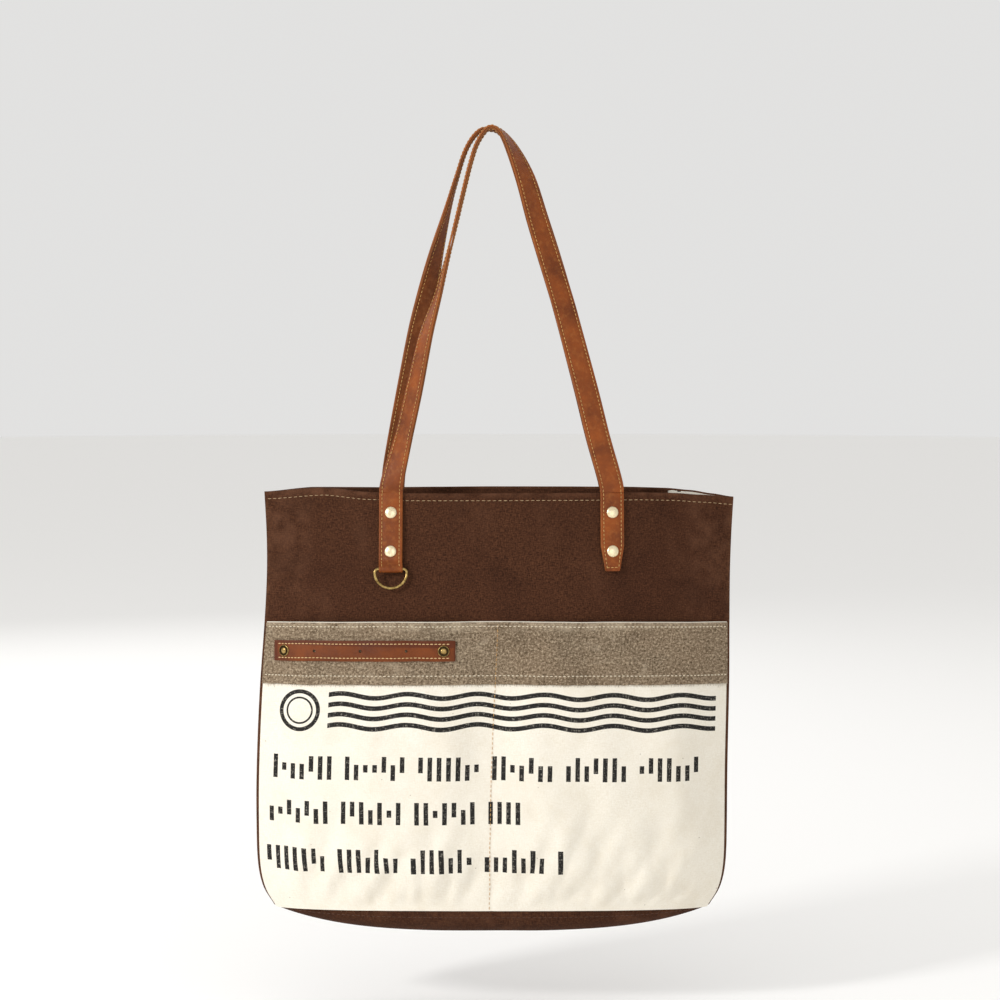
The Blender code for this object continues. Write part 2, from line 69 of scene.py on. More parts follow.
bag = {
    # height, half width, half depth and squareness of the outline
    "outline": [
        (mouthZ, 0.1992, 0.0210, 1.00),
        (-0.3400, 0.1975, 0.0290, 1.00),
        (-0.3740, 0.1970, 0.0350, 1.02),
        (pocketZ, 0.1980, 0.0415, 1.05),
        (bandLowZ, 0.2000, 0.0445, 1.12),
        (-0.5300, 0.2010, 0.0465, 1.20),
        (-0.5900, 0.2012, 0.0480, 1.33),
        (-0.6250, 0.2000, 0.0486, 1.42),
        (-0.6450, 0.1955, 0.0489, 1.52),
        (seamZ, 0.1865, 0.0490, 1.60),
    ],
    "lensPower": 2.4,
    "swing": -0.0062,         # the lower half hangs a little to the left of the mouth
    "swingFrom": 0.030,       # this starts so far below the mouth
    "swingOver": 0.240,       # and takes this height to come in
    "canvas": 0.0011,         # cloth thickness
    "hemDepth": 0.0120,
    "hemDrop": 0.0008,        # from the mouth down to where the hem's fold starts
    "hemRound": 0.0007,       # radius of the fold
    "baseCanvas": 0.0014,
    "liningCloth": 0.0005,
    "liningDepth": 0.0029,    # from the bag's face to the lining
    "mouthBlend": 0.070,      # below the mouth, how far down its edge's rise and fall fade out
    "frontRise": 0.0052,      # the straps hold the middle of the front up a little
    "risePower": 2.4,
    # how deep each kind of fold is
    "folds": {"soft": 0.0020, "drag": 0.0009, "low": 0.0062, "fine": 0.0013},
    # how far each edge of the mouth stands above or below its cut, by share of the width
    "mouthLift": {
        front: [(-1, 0.0), (-0.74, 0.0042), (-0.56, 0.0008), (-0.40, 0.0), (0.60, 0.0004), (0.74, -0.0004),
                (0.87, -0.0024), (1, -0.0048)],
        back: [(-1, 0.0), (-0.80, 0.0034), (-0.50, 0.0026), (0.00, 0.0030), (0.55, 0.0030), (0.72, 0.0024),
               (0.82, 0.0008), (0.91, -0.0018), (1, -0.0044)],
    },
}
pocket = {
    "edge": 0.985, "mouthSlack": 0.0045, "slack": 0.0085, "rise": 0.22, "fullBelow": 0.11, "seamFade": 0.045,
    "cloth": 0.0010, "lift": 0.0009, "face": 0.0014,    # thickness, middle and outer side of each layer
    "bandCloth": 0.0012, "bandLift": 0.0021, "bandFace": 0.0027,
}

# Sideways place, height and turn from face-on of each handle's middle line
handlePaths = {
    front: [
        (-0.0823, -0.3036, 0), (-0.0821, -0.2990, 8), (-0.0790, -0.2850, 26), (-0.0718, -0.2580, 46),
        (-0.0630, -0.2190, 50), (-0.0525, -0.1710, 62), (-0.0430, -0.1400, 78), (-0.0352, -0.1090, 86),
        (-0.0290, -0.0840, 90), (-0.0220, -0.0550, 90), (-0.0150, -0.0270, 90), (-0.0090, -0.0100, 90),
        (0.0000, 0.0015, 90), (0.0090, -0.0010, 84), (0.0185, -0.0140, 66), (0.0300, -0.0400, 44),
        (0.0400, -0.0740, 34), (0.0495, -0.1040, 27), (0.0615, -0.1420, 20), (0.0695, -0.1710, 17),
        (0.0825, -0.2190, 13), (0.0922, -0.2580, 8), (0.1005, -0.2870, 3), (0.1035, -0.2990, 0),
        (0.1037, -0.3036, 0),
    ],
    back: [
        (-0.0823, -0.3036, 0), (-0.0822, -0.2990, 2), (-0.0808, -0.2850, 6), (-0.0762, -0.2580, 10),
        (-0.0690, -0.2190, 15), (-0.0598, -0.1710, 22), (-0.0528, -0.1400, 34), (-0.0450, -0.1040, 60),
        (-0.0345, -0.0640, 82), (-0.0275, -0.0400, 88), (-0.0190, -0.0150, 90), (-0.0090, -0.0010, 90),
        (0.0010, 0.0015, 90), (0.0100, -0.0015, 86), (0.0200, -0.0140, 72), (0.0320, -0.0400, 52),
        (0.0420, -0.0740, 38), (0.0510, -0.1040, 28), (0.0620, -0.1420, 20), (0.0700, -0.1710, 16),
        (0.0825, -0.2190, 12), (0.0922, -0.2580, 7), (0.1005, -0.2870, 3), (0.1035, -0.2990, 0),
        (0.1037, -0.3036, 0),
    ],
}
strap = {
    "width": 0.0200, "layer": 0.00142, "slit": 0.00016, "crownY": 0.0105, "pivotZ": -0.3040,
    "leftX": -0.0823, "rightX": 0.1037, "endZ": -0.3700, "taperZ": -0.3490, "tip": 0.0062,
    "lift": 0.0004, "stitchInset": 0.0026, "stitchPitch": 0.0034, "steps": 6,
    "pivotY": 0.0221, "bend": 0.006,    # where the strap turns when its handle folds, and over what height
}


def ease(low, high, value):
    t = max(0.0, min(1.0, (value - low) / (high - low)))
    return t * t * (3 - 2 * t)


def readTable(table, value):
    for (a, low), (b, high) in zip(table, table[1:]):
        if value <= b:
            t = max(0.0, (value - a) / (b - a))
            return low + (high - low) * (t + ease(0.0, 1.0, t)) / 2
    return table[-1][1]


# The bag's shape, as a surface that every cloth layer follows

def bagSize(z):
    rows = bag["outline"]
    z = max(rows[-1][0], min(rows[0][0], z))
    i = 0
    while i < len(rows) - 2 and z < rows[i + 1][0]:
        i += 1
    before, upper, lower = rows[max(i - 1, 0)], rows[i], rows[i + 1]
    after = rows[min(i + 2, len(rows) - 1)]
    span = upper[0] - lower[0]
    t = (upper[0] - z) / span
    sizes = []
    for k in (1, 2, 3):    # a soft curve through the cut's rows
        slopeIn = (lower[k] - before[k]) / (before[0] - lower[0]) * span
        slopeOut = (after[k] - upper[k]) / (upper[0] - after[0]) * span
        stay = 2 * t ** 3 - 3 * t ** 2 + 1
        sizes.append(upper[k] * stay + slopeIn * (t ** 3 - 2 * t ** 2 + t)
                     + lower[k] * (1 - stay) + slopeOut * (t ** 3 - t ** 2))
    return sizes


def swingAt(z):
    return bag["swing"] * ease(0.0, 1.0, (mouthZ - bag["swingFrom"] - z) / bag["swingOver"])


def creases(side, u, z):
    # how far the cloth stands in or out where it drags and buckles; the last two only near the base
    deep = bag["folds"]
    soft = noise.noise(Vector((u * 4.2, z * 17.0, side * 3.1))) * deep["soft"]
    drag = noise.noise(Vector((u * 9.0 + z * 22.0, z * 9.0, side * 7.7))) * deep["drag"]
    low = noise.noise(Vector((u * 11.0 - z * 20.0, z * 26.0, side * 5.0))) * deep["low"]
    fine = noise.noise(Vector((u * 26.0, z * 55.0, side * 9.0))) * deep["fine"]
    low, fine = low * ease(-0.55, -0.63, z), fine * ease(-0.58, -0.64, z)
    return (soft + drag + low + fine) * (1 - abs(u) ** 6) * ease(seamZ, seamZ + 0.014, z)


def pocketSlack(u, z):
    reach = min(pocket["edge"] - abs(u), abs(u) - 0.004)
    across = ease(0.0, 1.0, reach / pocket["rise"])
    lower = ease(0.0, 1.0, (pocketZ - z) / pocket["fullBelow"])
    most = pocket["mouthSlack"] + (pocket["slack"] - pocket["mouthSlack"]) * lower
    folds = 1 + 0.35 * noise.noise(Vector((u * 6.0, z * 14.0, 2.0)))
    return most * across * folds * ease(0.0, 1.0, (z - seamZ) / pocket["seamFade"])


def frontRise(u, z):
    return bag["frontRise"] * (1 - abs(u) ** bag["risePower"]) * ease(mouthZ - bag["mouthBlend"], pocketZ, z)


def skin(side, u, z, swell=0.0):
    halfWidth, halfDepth, square = bagSize(z)
    y = halfDepth * max(0.0, 1 - abs(u) ** bag["lensPower"]) ** (1 / square)
    y += creases(side, u, z) + swell * pocketSlack(u, z)
    rise = readTable(bag["mouthLift"][side], u) * ease(mouthZ - bag["mouthBlend"], mouthZ, z)
    if side == front:
        rise += frontRise(u, z)
    return Vector((bagX + swingAt(z) + u * halfWidth, side * max(y, 0.0), z + rise))


def skinFrame(side, u, z, swell=0.0):
    # a point of the bag's face with its sideways and outward directions
    du, dz = 0.004, 0.0012
    across = skin(side, min(u + du, 1.0), z, swell) - skin(side, max(u - du, -1.0), z, swell)
    up = skin(side, u, min(z + dz, mouthZ), swell) - skin(side, u, max(z - dz, seamZ), swell)
    across.normalize()
    out = across.cross(up.normalized()) * -side
    return skin(side, u, z, swell), across, out.normalized()


def layer(side, u, z, lift, swell=0.0):
    spot, _, out = skinFrame(side, u, z, swell)
    return spot + out * lift


def shareAt(x, z):
    return (x - bagX - swingAt(z)) / bagSize(z)[0]


# Small helpers

def deselect():
    if bpy.context.object and bpy.context.object.mode != "OBJECT":
        bpy.ops.object.mode_set(mode="OBJECT")
    bpy.ops.object.select_all(action="DESELECT")


def makeActive(piece):
    deselect()
    piece.select_set(True)
    bpy.context.view_layer.objects.active = piece


def applyModifiers(piece):
    makeActive(piece)
    for modifier in list(piece.modifiers):
        bpy.ops.object.modifier_apply(modifier=modifier.name)


def bakePlace(piece):
    makeActive(piece)
    bpy.ops.object.transform_apply(location=True, rotation=True, scale=True)


def finishPiece(piece, material, body, replaced=(), smooth=50):
    piece.data.materials.clear()
    piece.data.materials.append(material)
    makeActive(piece)
    bpy.ops.object.shade_smooth_by_angle(angle=math.radians(smooth))
    if replaced:
        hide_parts(*replaced)
    if body:
        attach(piece, body)
    return piece


def fixNormals(piece):
    makeActive(piece)
    bpy.ops.object.mode_set(mode="EDIT")
    bpy.ops.mesh.select_all(action="SELECT")
    bpy.ops.mesh.normals_make_consistent(inside=False)
    bpy.ops.object.mode_set(mode="OBJECT")


def clothGrid(name, columns, rows, place, thickness, uvAt):
    # a grid of cloth laid out by place(i, j), i and j from 0 to 1, then given its thickness
    deselect()
    bpy.ops.mesh.primitive_grid_add(x_subdivisions=columns, y_subdivisions=rows, size=2)
    piece = bpy.context.object
    piece.name = piece.data.name = name
    shares = [((v.co.x + 1) / 2, (v.co.y + 1) / 2) for v in piece.data.vertices]
    uvLayer = piece.data.uv_layers[0]
    for loop in piece.data.loops:
        i, j = shares[loop.vertex_index]
        uvLayer.data[loop.index].uv = uvAt(i, j)
    for vertex, (i, j) in zip(piece.data.vertices, shares):
        vertex.co = place(i, j)
    solid = piece.modifiers.new("thickness", "SOLIDIFY")
    solid.thickness = thickness
    solid.offset = 0
    applyModifiers(piece)
    fixNormals(piece)
    return piece


# Materials

def linear(hexColour):
    values = []
    for start in (0, 2, 4):
        c = int(hexColour[start:start + 2], 16) / 255
        values.append(c / 12.92 if c <= 0.04045 else ((c + 0.055) / 1.055) ** 2.4)
    return (*values, 1.0)


# One node: values feed its inputs in order, and settings are its own choices or its named inputs
def add(tree, kind, *values, out=0, **settings):
    kind, _, operation = kind.partition(".")
    node = tree.nodes.new("ShaderNode" + kind)
    if operation:
        node.operation = operation
    fed = list(zip(node.inputs, values))
    for key, value in settings.items():
        if hasattr(node, key):
            setattr(node, key, value)
        else:
            fed.append((node.inputs[key.replace("_", " ")], value))
    for socket, value in fed:
        if isinstance(value, bpy.types.NodeSocket):
            tree.links.new(value, socket)
        elif value is not None:
            socket.default_value = value
    return node.outputs[out]


def newMaterial(name, roughness, metallic=0.0):
    material = bpy.data.materials.new(name)
    material.use_nodes = True
    tree = material.node_tree
    shader = tree.nodes["Principled BSDF"]
    shader.inputs["Roughness"].default_value = roughness
    shader.inputs["Metallic"].default_value = metallic
    return material, tree, shader


# Plain weave: the height of warp and weft threads that pass over and under each other
def weave(tree, uv, pitch):
    turns = 1 / pitch
    warp = add(tree, "TexWave", uv, turns / 2, out="Fac", wave_type="BANDS", bands_direction="X")
    weft = add(tree, "TexWave", uv, turns / 2, out="Fac", wave_type="BANDS", bands_direction="Y")
    over = add(tree, "TexChecker", uv, out="Fac", Scale=turns)
    return add(tree, "MixRGB", over, warp, weft)


def canvasMaterial(name, base, dark, light, pitch, roughness, speckle, fleck, wearColour, wearMost, bump,
                   printed=False):
    # woven cotton canvas: thread relief, heathered yarns, cloudy dye, rubbed ridges and painted shade in the
    # gaps between threads
    material, tree, shader = newMaterial(name, roughness)
    uv = add(tree, "TexCoord", out="UV")
    place = add(tree, "TexCoord", out="Object")
    threads = weave(tree, uv, pitch)
    slubLong, slubWide = 0.004, 0.0009    # thick places in the yarn
    slubs = add(tree, "Mapping", uv, Scale=(1 / slubLong, 1 / slubWide, 1.0))
    slubsUp = add(tree, "Mapping", uv, Scale=(1 / slubWide, 1 / slubLong, 1.0))
    yarnA = add(tree, "TexNoise", slubs, None, 1.0, 2.0)
    yarnB = add(tree, "TexNoise", slubsUp, None, 1.0, 2.0)
    yarn = add(tree, "Math.MULTIPLY_ADD", add(tree, "Math.ADD", yarnA, yarnB), 0.5, 0.0)
    grains = add(tree, "TexNoise", uv, None, 1 / 0.0011, 1.0)
    clouds = add(tree, "TexNoise", place, None, 1 / 0.06, 4.0)
    tone = add(tree, "MapRange", yarn, 0.5 - speckle, 0.5 + speckle)
    colour = add(tree, "MixRGB", tone, linear(dark), linear(light))
    colour = add(tree, "MixRGB", add(tree, "MapRange", clouds, 0.3, 0.7, 0.75, 0.35), colour, linear(base))
    colour = add(tree, "MixRGB", add(tree, "MapRange", grains, 0.60, 0.72, 0.0, 0.5), colour, linear(light))
    # painted shade: where the weave is low, between the threads, the colour is darkened toward the dark yarn
    gapShade = add(tree, "Math.MULTIPLY", add(tree, "MapRange", threads, 0.35, 0.0), 0.35)
    colour = add(tree, "MixRGB", gapShade, colour, linear(dark))
    stains = add(tree, "TexNoise", place, None, 1 / 0.035, 5.0, 0.6)
    colour = add(tree, "MixRGB", add(tree, "MapRange", stains, 0.48, 0.74, 0.0, 0.45), colour, linear(dark))
    flecks = add(tree, "TexNoise", uv, None, 1 / (pitch * 1.15), 2.0, 0.8)
    colour = add(tree, "MixRGB", add(tree, "MapRange", flecks, 0.54, 0.66, 0.0, fleck), colour, linear(light))
    colour = add(tree, "MixRGB", add(tree, "MapRange", flecks, 0.46, 0.34, 0.0, fleck), colour, linear(dark))
    wear = add(tree, "Attribute", out="Fac", attribute_name="wear")
    patches = add(tree, "TexNoise", place, None, 1 / 0.012, 4.0)
    rubbed = add(tree, "Math.MULTIPLY", wear, add(tree, "MapRange", patches, 0.35, 0.65))
    colour = add(tree, "MixRGB", add(tree, "Math.MULTIPLY", rubbed, wearMost), colour, linear(wearColour))
    if printed:
        seeds = add(tree, "TexVoronoi", uv, Scale=1 / 0.013)    # bits of seed husk left in natural cotton
        husks = add(tree, "MapRange", seeds, 0.045, 0.02, 0.0, 0.6)
        colour = add(tree, "MixRGB", husks, colour, linear("6B5238"))
        ink, worn = printMask(tree, uv, yarn)
        colour = add(tree, "MixRGB", add(tree, "Math.MULTIPLY", ink, worn), colour, linear("121113"))
    tree.links.new(colour, shader.inputs["Base Color"])
    fuzz = add(tree, "TexNoise", place, None, 1 / 0.0025, 3.0)
    height = add(tree, "Math.MULTIPLY_ADD", fuzz, 0.5, threads)
    height = add(tree, "Math.MULTIPLY_ADD", clouds, 0.6, height)
    relief = add(tree, "Bump", Strength=bump, Distance=0.0006, Height=height)
    tree.links.new(relief, shader.inputs["Normal"])
    shader.inputs["Specular IOR Level"].default_value = 0.08
    return material


def printMask(tree, uv, yarn):
    # plain postal marks with no letters: a blank ring with wavy lines, and rows of upright bars
    split = add(tree, "SeparateXYZ", uv).node
    x, z = split.outputs["X"], split.outputs["Y"]
    masks = []

    def band(value, low, high):
        above = add(tree, "Math.GREATER_THAN", value, low)
        return add(tree, "Math.MULTIPLY", above, add(tree, "Math.LESS_THAN", value, high))

    stamp = postmark["stamp"]
    offX = add(tree, "Math.SUBTRACT", x, stamp["x"])
    offZ = add(tree, "Math.SUBTRACT", z, stamp["z"])
    squareX, squareZ = add(tree, "Math.MULTIPLY", offX, offX), add(tree, "Math.MULTIPLY", offZ, offZ)
    reach = add(tree, "Math.SQRT", add(tree, "Math.ADD", squareX, squareZ))
    for radius, stroke in stamp["circles"]:
        masks.append(band(reach, radius - stroke / 2, radius + stroke / 2))
    waves = postmark["waves"]
    phase = add(tree, "Math.MULTIPLY", x, 2 * math.pi / waves["length"])
    swing = add(tree, "Math.MULTIPLY", add(tree, "Math.SINE", phase), waves["height"])
    z = add(tree, "Math.MULTIPLY_ADD", x, postmark["slope"], z)
    height = add(tree, "Math.SUBTRACT", add(tree, "Math.ADD", z, swing), waves["low"])
    level = add(tree, "Math.DIVIDE", height, waves["pitch"])
    lines = add(tree, "Math.LESS_THAN", add(tree, "Math.FRACT", level), waves["stroke"] / waves["pitch"])
    lines = add(tree, "Math.MULTIPLY", lines, band(level, 0.0, waves["count"]))
    masks.append(add(tree, "Math.MULTIPLY", lines, band(x, waves["x0"], waves["x1"])))
    for rowIndex, (x0, x1, top, low) in enumerate(postmark["rows"]):
        cell = add(tree, "Math.DIVIDE", add(tree, "Math.SUBTRACT", x, x0), postmark["barPitch"])
        number = add(tree, "Math.FLOOR", cell)
        key = add(tree, "CombineXYZ", number, rowIndex * 3.7 + 1.3)
        dice = add(tree, "TexWhiteNoise", key, noise_dimensions="2D")
        bar = add(tree, "Math.LESS_THAN", add(tree, "Math.FRACT", cell), postmark["barShare"])
        tall = top - low
        rise = add(tree, "Math.GREATER_THAN", dice, 0.35)
        ceiling = add(tree, "Math.MULTIPLY_ADD", rise, tall * 0.34, low + tall * 0.66)
        drop = add(tree, "Math.FRACT", add(tree, "Math.MULTIPLY", dice, 7.31))
        floor = add(tree, "Math.MULTIPLY_ADD", add(tree, "Math.GREATER_THAN", drop, 0.65), tall * 0.34, low)
        inside = add(tree, "Math.MULTIPLY", add(tree, "Math.LESS_THAN", z, ceiling),
                     add(tree, "Math.GREATER_THAN", z, floor))
        gap = add(tree, "Math.LESS_THAN", add(tree, "Math.MODULO", number, postmark["group"] + 1.0),
                  postmark["group"] - 0.5)
        inside = add(tree, "Math.MULTIPLY", add(tree, "Math.MULTIPLY", inside, gap), bar)
        masks.append(add(tree, "Math.MULTIPLY", inside, band(x, x0, x1)))
    ink = masks[0]
    for mask in masks[1:]:
        ink = add(tree, "Math.MAXIMUM", ink, mask)
    worn = add(tree, "MapRange", yarn, 0.36, 0.46, 0.72, 0.98)
    return ink, worn


postmark = {
    "stamp": {"x": -0.1655, "z": -0.4900, "circles": [(0.0160, 0.0034), (0.0108, 0.0016)]},
    "waves": {"x0": -0.1410, "x1": 0.1905, "low": -0.5060, "pitch": 0.0086, "stroke": 0.0040,
              "height": 0.0019, "length": 0.058, "count": 3.95},
    "rows": [
        (-0.1870, 0.1820, -0.5290, -0.5490),
        (-0.1900, 0.0270, -0.5672, -0.5860),
        (-0.1930, 0.0630, -0.6070, -0.6270),
    ],
    "barPitch": 0.0078,
    "barShare": 0.50,
    "group": 7,
    "slope": 0.0050,    # the print runs down a little to the right
}


def leatherMaterial(name, base, deep, rubbed, roughness, bump, rubbedMost=0.30):
    # pull-up leather: pebbled grain, cloudy dye, another tone where bent or rubbed at the edges
    material, tree, shader = newMaterial(name, roughness)
    shader.inputs["Specular IOR Level"].default_value = 0.22
    place = add(tree, "TexCoord", out="Object")
    pebbles = add(tree, "TexVoronoi", place, feature="DISTANCE_TO_EDGE", Scale=1 / 0.0011)
    clouds = add(tree, "TexNoise", place, None, 1 / 0.022, 5.0, 0.6)
    streaks = add(tree, "TexNoise", place, None, 1 / 0.004, 4.0)
    colour = add(tree, "MixRGB", add(tree, "MapRange", clouds, 0.32, 0.68), linear(deep), linear(base))
    streaked = add(tree, "MapRange", streaks, 0.50, 0.80, 0.0, 0.35)
    colour = add(tree, "MixRGB", streaked, colour, linear(rubbed))
    wear = add(tree, "Attribute", out="Fac", attribute_name="wear")
    colour = add(tree, "MixRGB", add(tree, "Math.MULTIPLY", wear, rubbedMost), colour, linear(rubbed))
    tree.links.new(colour, shader.inputs["Base Color"])
    shine = add(tree, "MapRange", clouds, 0.3, 0.7, roughness - 0.08, roughness + 0.12)
    tree.links.new(shine, shader.inputs["Roughness"])
    height = add(tree, "Math.MULTIPLY_ADD", streaks, 0.6, add(tree, "MapRange", pebbles, 0.0, 0.18))
    relief = add(tree, "Bump", Strength=bump, Distance=0.0003, Height=height)
    tree.links.new(relief, shader.inputs["Normal"])
    return material


def metalMaterial(name, base, deep, roughness, brushed=False):
    # plated brass: fine brushing or a darkened antique finish in the low spots
    material, tree, shader = newMaterial(name, roughness, 1.0)
    place = add(tree, "TexCoord", out="Object")
    stretch = (1 / 0.0004, 1 / 0.0004, 1 / 0.006) if brushed else (1 / 0.0025,) * 3
    spread = add(tree, "Mapping", place, Scale=stretch)
    marks = add(tree, "TexNoise", spread, None, 1.0, 4.0)
    colour = add(tree, "MixRGB", add(tree, "MapRange", marks, 0.35, 0.7), linear(deep), linear(base))
    tarnish = add(tree, "Attribute", out="Fac", attribute_name="tarnish")
    colour = add(tree, "MixRGB", tarnish, colour, linear("2C2115"))
    tree.links.new(colour, shader.inputs["Base Color"])
    shine = add(tree, "MapRange", marks, 0.3, 0.7, roughness - 0.06, roughness + 0.10)
    tree.links.new(shine, shader.inputs["Roughness"])
    relief = add(tree, "Bump", Strength=0.05, Distance=0.0001, Height=marks)
    tree.links.new(relief, shader.inputs["Normal"])
    return material


def threadMaterial(name, base, deep):
    # twisted polyester thread: two tones that turn round the stitch
    material, tree, shader = newMaterial(name, 0.55)
    place = add(tree, "TexCoord", out="Object")
    twist = add(tree, "TexNoise", place, None, 1 / 0.0007, 2.0)
    colour = add(tree, "MixRGB", add(tree, "MapRange", twist, 0.35, 0.65), linear(deep), linear(base))
    tree.links.new(colour, shader.inputs["Base Color"])
    relief = add(tree, "Bump", Strength=0.3, Distance=0.0001, Height=twist)
    tree.links.new(relief, shader.inputs["Normal"])
    return material


def liningMaterial(name):
    # light printed cotton with small dark spots
    material, tree, shader = newMaterial(name, 0.85)
    uv = add(tree, "TexCoord", out="UV")
    threads = weave(tree, uv, 0.0010)
    spots = add(tree, "TexVoronoi", uv, Scale=1 / 0.0062, Randomness=0.9)
    ragged = add(tree, "Math.MULTIPLY_ADD", add(tree, "TexNoise", uv, None, 1 / 0.002, 2.0), 0.16, spots)
    ink = add(tree, "MapRange", ragged, 0.43, 0.40)
    clouds = add(tree, "TexNoise", uv, None, 1 / 0.02)
    colour = add(tree, "MixRGB", clouds, linear("D6D0C2"), linear("E4DFD3"))
    colour = add(tree, "MixRGB", ink, colour, linear("26221F"))
    tree.links.new(colour, shader.inputs["Base Color"])
    relief = add(tree, "Bump", Strength=0.25, Distance=0.0003, Height=threads)
    tree.links.new(relief, shader.inputs["Normal"])
    return material


# Thread pitches are drawn at 1.2 to 1.7 mm, twice the real ones, so that the weave still shows

# Waxed canvas: dark and matt, clouded by the wax, with paler ridges where it rubs
brownCanvas = canvasMaterial("waxedCottonCanvas", "3F2417", "26140C", "68422C", 0.0013, 0.80, 0.12, 0.38,
                             "6E4A36", 0.5, 0.4)
# Stone-washed canvas: strongly flecked grey brown, faded along folds and edges
taupeCanvas = canvasMaterial("stoneWashedCanvas", "87715A", "453829", "C4B196", 0.0017, 0.88, 0.13, 0.80,
                             "C8B79E", 0.45, 0.7)
# Natural canvas: warm off-white with a soft weave, a few seed husks and a screen print
creamCanvas = canvasMaterial("naturalCottonCanvas", "F0E9DA", "DDD2BD", "FAF6EC", 0.0013, 0.86, 0.20, 0.14,
                             "FBF8F0", 0.4, 0.28, printed=True)
liningCloth = liningMaterial("spottedLiningCotton")
# Pull-up leather: oiled orange brown that goes paler where it bends and at its edges
leather = leatherMaterial("pullUpLeather", "8E4716", "67300D", "AE6C33", 0.42, 0.3)
# Burnished leather: redder, with edges rubbed dark
stripLeather = leatherMaterial("burnishedRedLeather", "773A10", "5C2A0B", "4C1C08", 0.42, 0.3, 0.65)
# The flesh side: rough and matt
leatherBack = leatherMaterial("leatherFleshSide", "7E431C", "5E2E10", "A0683C", 0.72, 0.55)
# Plated brass: pale with fine brushing on the rivets, darkened on the ring, studs and zip
paleBrass = metalMaterial("brushedPaleBrass", "FFF3D6", "E6D3A4", 0.30, brushed=True)
antiqueBrass = metalMaterial("antiqueBrass", "C4A76A", "80673B", 0.30)
# Threads: two tones that show the twist
tanThread = threadMaterial("goldTanThread", "D3A562", "A5763A")
strawThread = threadMaterial("thickStrawThread", "E8C893", "BF9560")
paleThread = threadMaterial("paleTanThread", "C2A57C", "947654")
brownThread = threadMaterial("darkBrownThread", "5E4030", "3A251A")
washedThread = threadMaterial("washedCottonThread", "EADFC8", "C2B398")
print("materials made")


# Stitches

def stitchTemplate():
    deselect()
    bpy.ops.mesh.primitive_uv_sphere_add(segments=6, ring_count=5, radius=1)
    piece = bpy.context.object
    points = [v.co.copy() for v in piece.data.vertices]
    faces = [tuple(p.vertices) for p in piece.data.polygons]
    bpy.data.objects.remove(piece, do_unlink=True)
    return points, faces


stitchPoints, stitchFaces = stitchTemplate()


def stitchRows(name, rows, material, body, pitch=0.0034, share=0.72, thick=0.00055):
    # rows of thread: each row is a list of (point, outward) along a seam
    points, faces = [], []
    for row in rows:
        travelled, nextStop = 0.0, pitch / 2
        for (a, outA), (b, outB) in zip(row, row[1:]):
            length = (b - a).length
            if length < 1e-7:
                continue
            along = (b - a) / length
            while nextStop <= travelled + length:
                t = (nextStop - travelled) / length
                out = outA.lerp(outB, t).normalized()
                wide = along.cross(out).normalized()
                up = wide.cross(along)
                tilt = (wide * random.uniform(-0.06, 0.06) + along).normalized()
                middle = a.lerp(b, t) + up * (thick * 0.25)
                start = len(points)
                for p in stitchPoints:
                    points.append(middle + tilt * (p.z * pitch * share / 2)
                                  + wide * (p.x * thick / 2) + up * (p.y * thick / 2))
                faces.extend(tuple(i + start for i in face) for face in stitchFaces)
                nextStop += pitch
            travelled += length
    mesh = bpy.data.meshes.new(name)
    mesh.from_pydata([tuple(p) for p in points], [], faces)
    piece = bpy.data.objects.new(name, mesh)
    bpy.context.scene.collection.objects.link(piece)
    fixNormals(piece)
    return finishPiece(piece, material, body)


def seamRow(side, shares, heights, lift, swell=0.0, count=220):
    # points along a seam that runs from one share and height to another
    row = []
    for k in range(count + 1):
        t = k / count
        u = shares[0] + (shares[1] - shares[0]) * t
        z = heights[0] + (heights[1] - heights[0]) * t
        spot, _, out = skinFrame(side, u, z, swell)
        row.append((spot + out * lift, out))
    return row


# Cloth body

def wearOf(piece, amount):
    attribute = piece.data.attributes.new("wear", "FLOAT", "POINT")
    attribute.data.foreach_set("value", [amount(v.co) for v in piece.data.vertices])


def spreadShare(i, power=1.35):
    # columns stand closer together towards the side seams
    s = 2 * i - 1
    return math.copysign(1 - (1 - abs(s)) ** power, s)


def panelProfile(j):
    # up the outside, over the hem and down inside: height and lift at share j
    outside, over = 0.90, 0.93
    middle, foldZ = -bag["canvas"] / 2, mouthZ - bag["hemDrop"]
    if j <= outside:
        return seamZ + (foldZ - seamZ) * (j / outside), middle
    if j <= over:
        a = math.pi * (j - outside) / (over - outside)
        return foldZ + bag["hemRound"] * math.sin(a), middle - bag["hemRound"] * (1 - math.cos(a))
    return foldZ - bag["hemDepth"] * (j - over) / (1 - over), middle - 2 * bag["hemRound"]


def panelPlace(side):
    def place(i, j):
        u = spreadShare(i)
        z, lift = panelProfile(j)
        spot, _, out = skinFrame(side, u, min(z, mouthZ), 0.0)
        ridge = 0.00025 * ease(mouthZ - 0.0075, mouthZ - 0.0055, z) if lift > -0.001 else 0.0
        return spot + out * ((lift + ridge) * (1 - abs(u) ** 40))
    return place


def clothUv(i, j):
    return (spreadShare(i) * 0.2, j * 0.39)


def panelWear(co):
    # rubbed at the mouth, the side seams and the upper corners, and a little in soft patches
    edge = max(ease(mouthZ - 0.004, mouthZ, co.z), ease(0.975, 1.0, abs(shareAt(co.x, co.z))))
    corners = ease(0.030, 0.012, abs(abs(co.x - bagX) - 0.182)) * ease(-0.42, -0.35, co.z)
    patches = ease(0.5, 0.9, noise.noise(Vector((co.x * 40 + co.z * 9, co.z * 12, 1.5))) + 0.4)
    return max(edge, 0.7 * corners, 0.3 * patches)


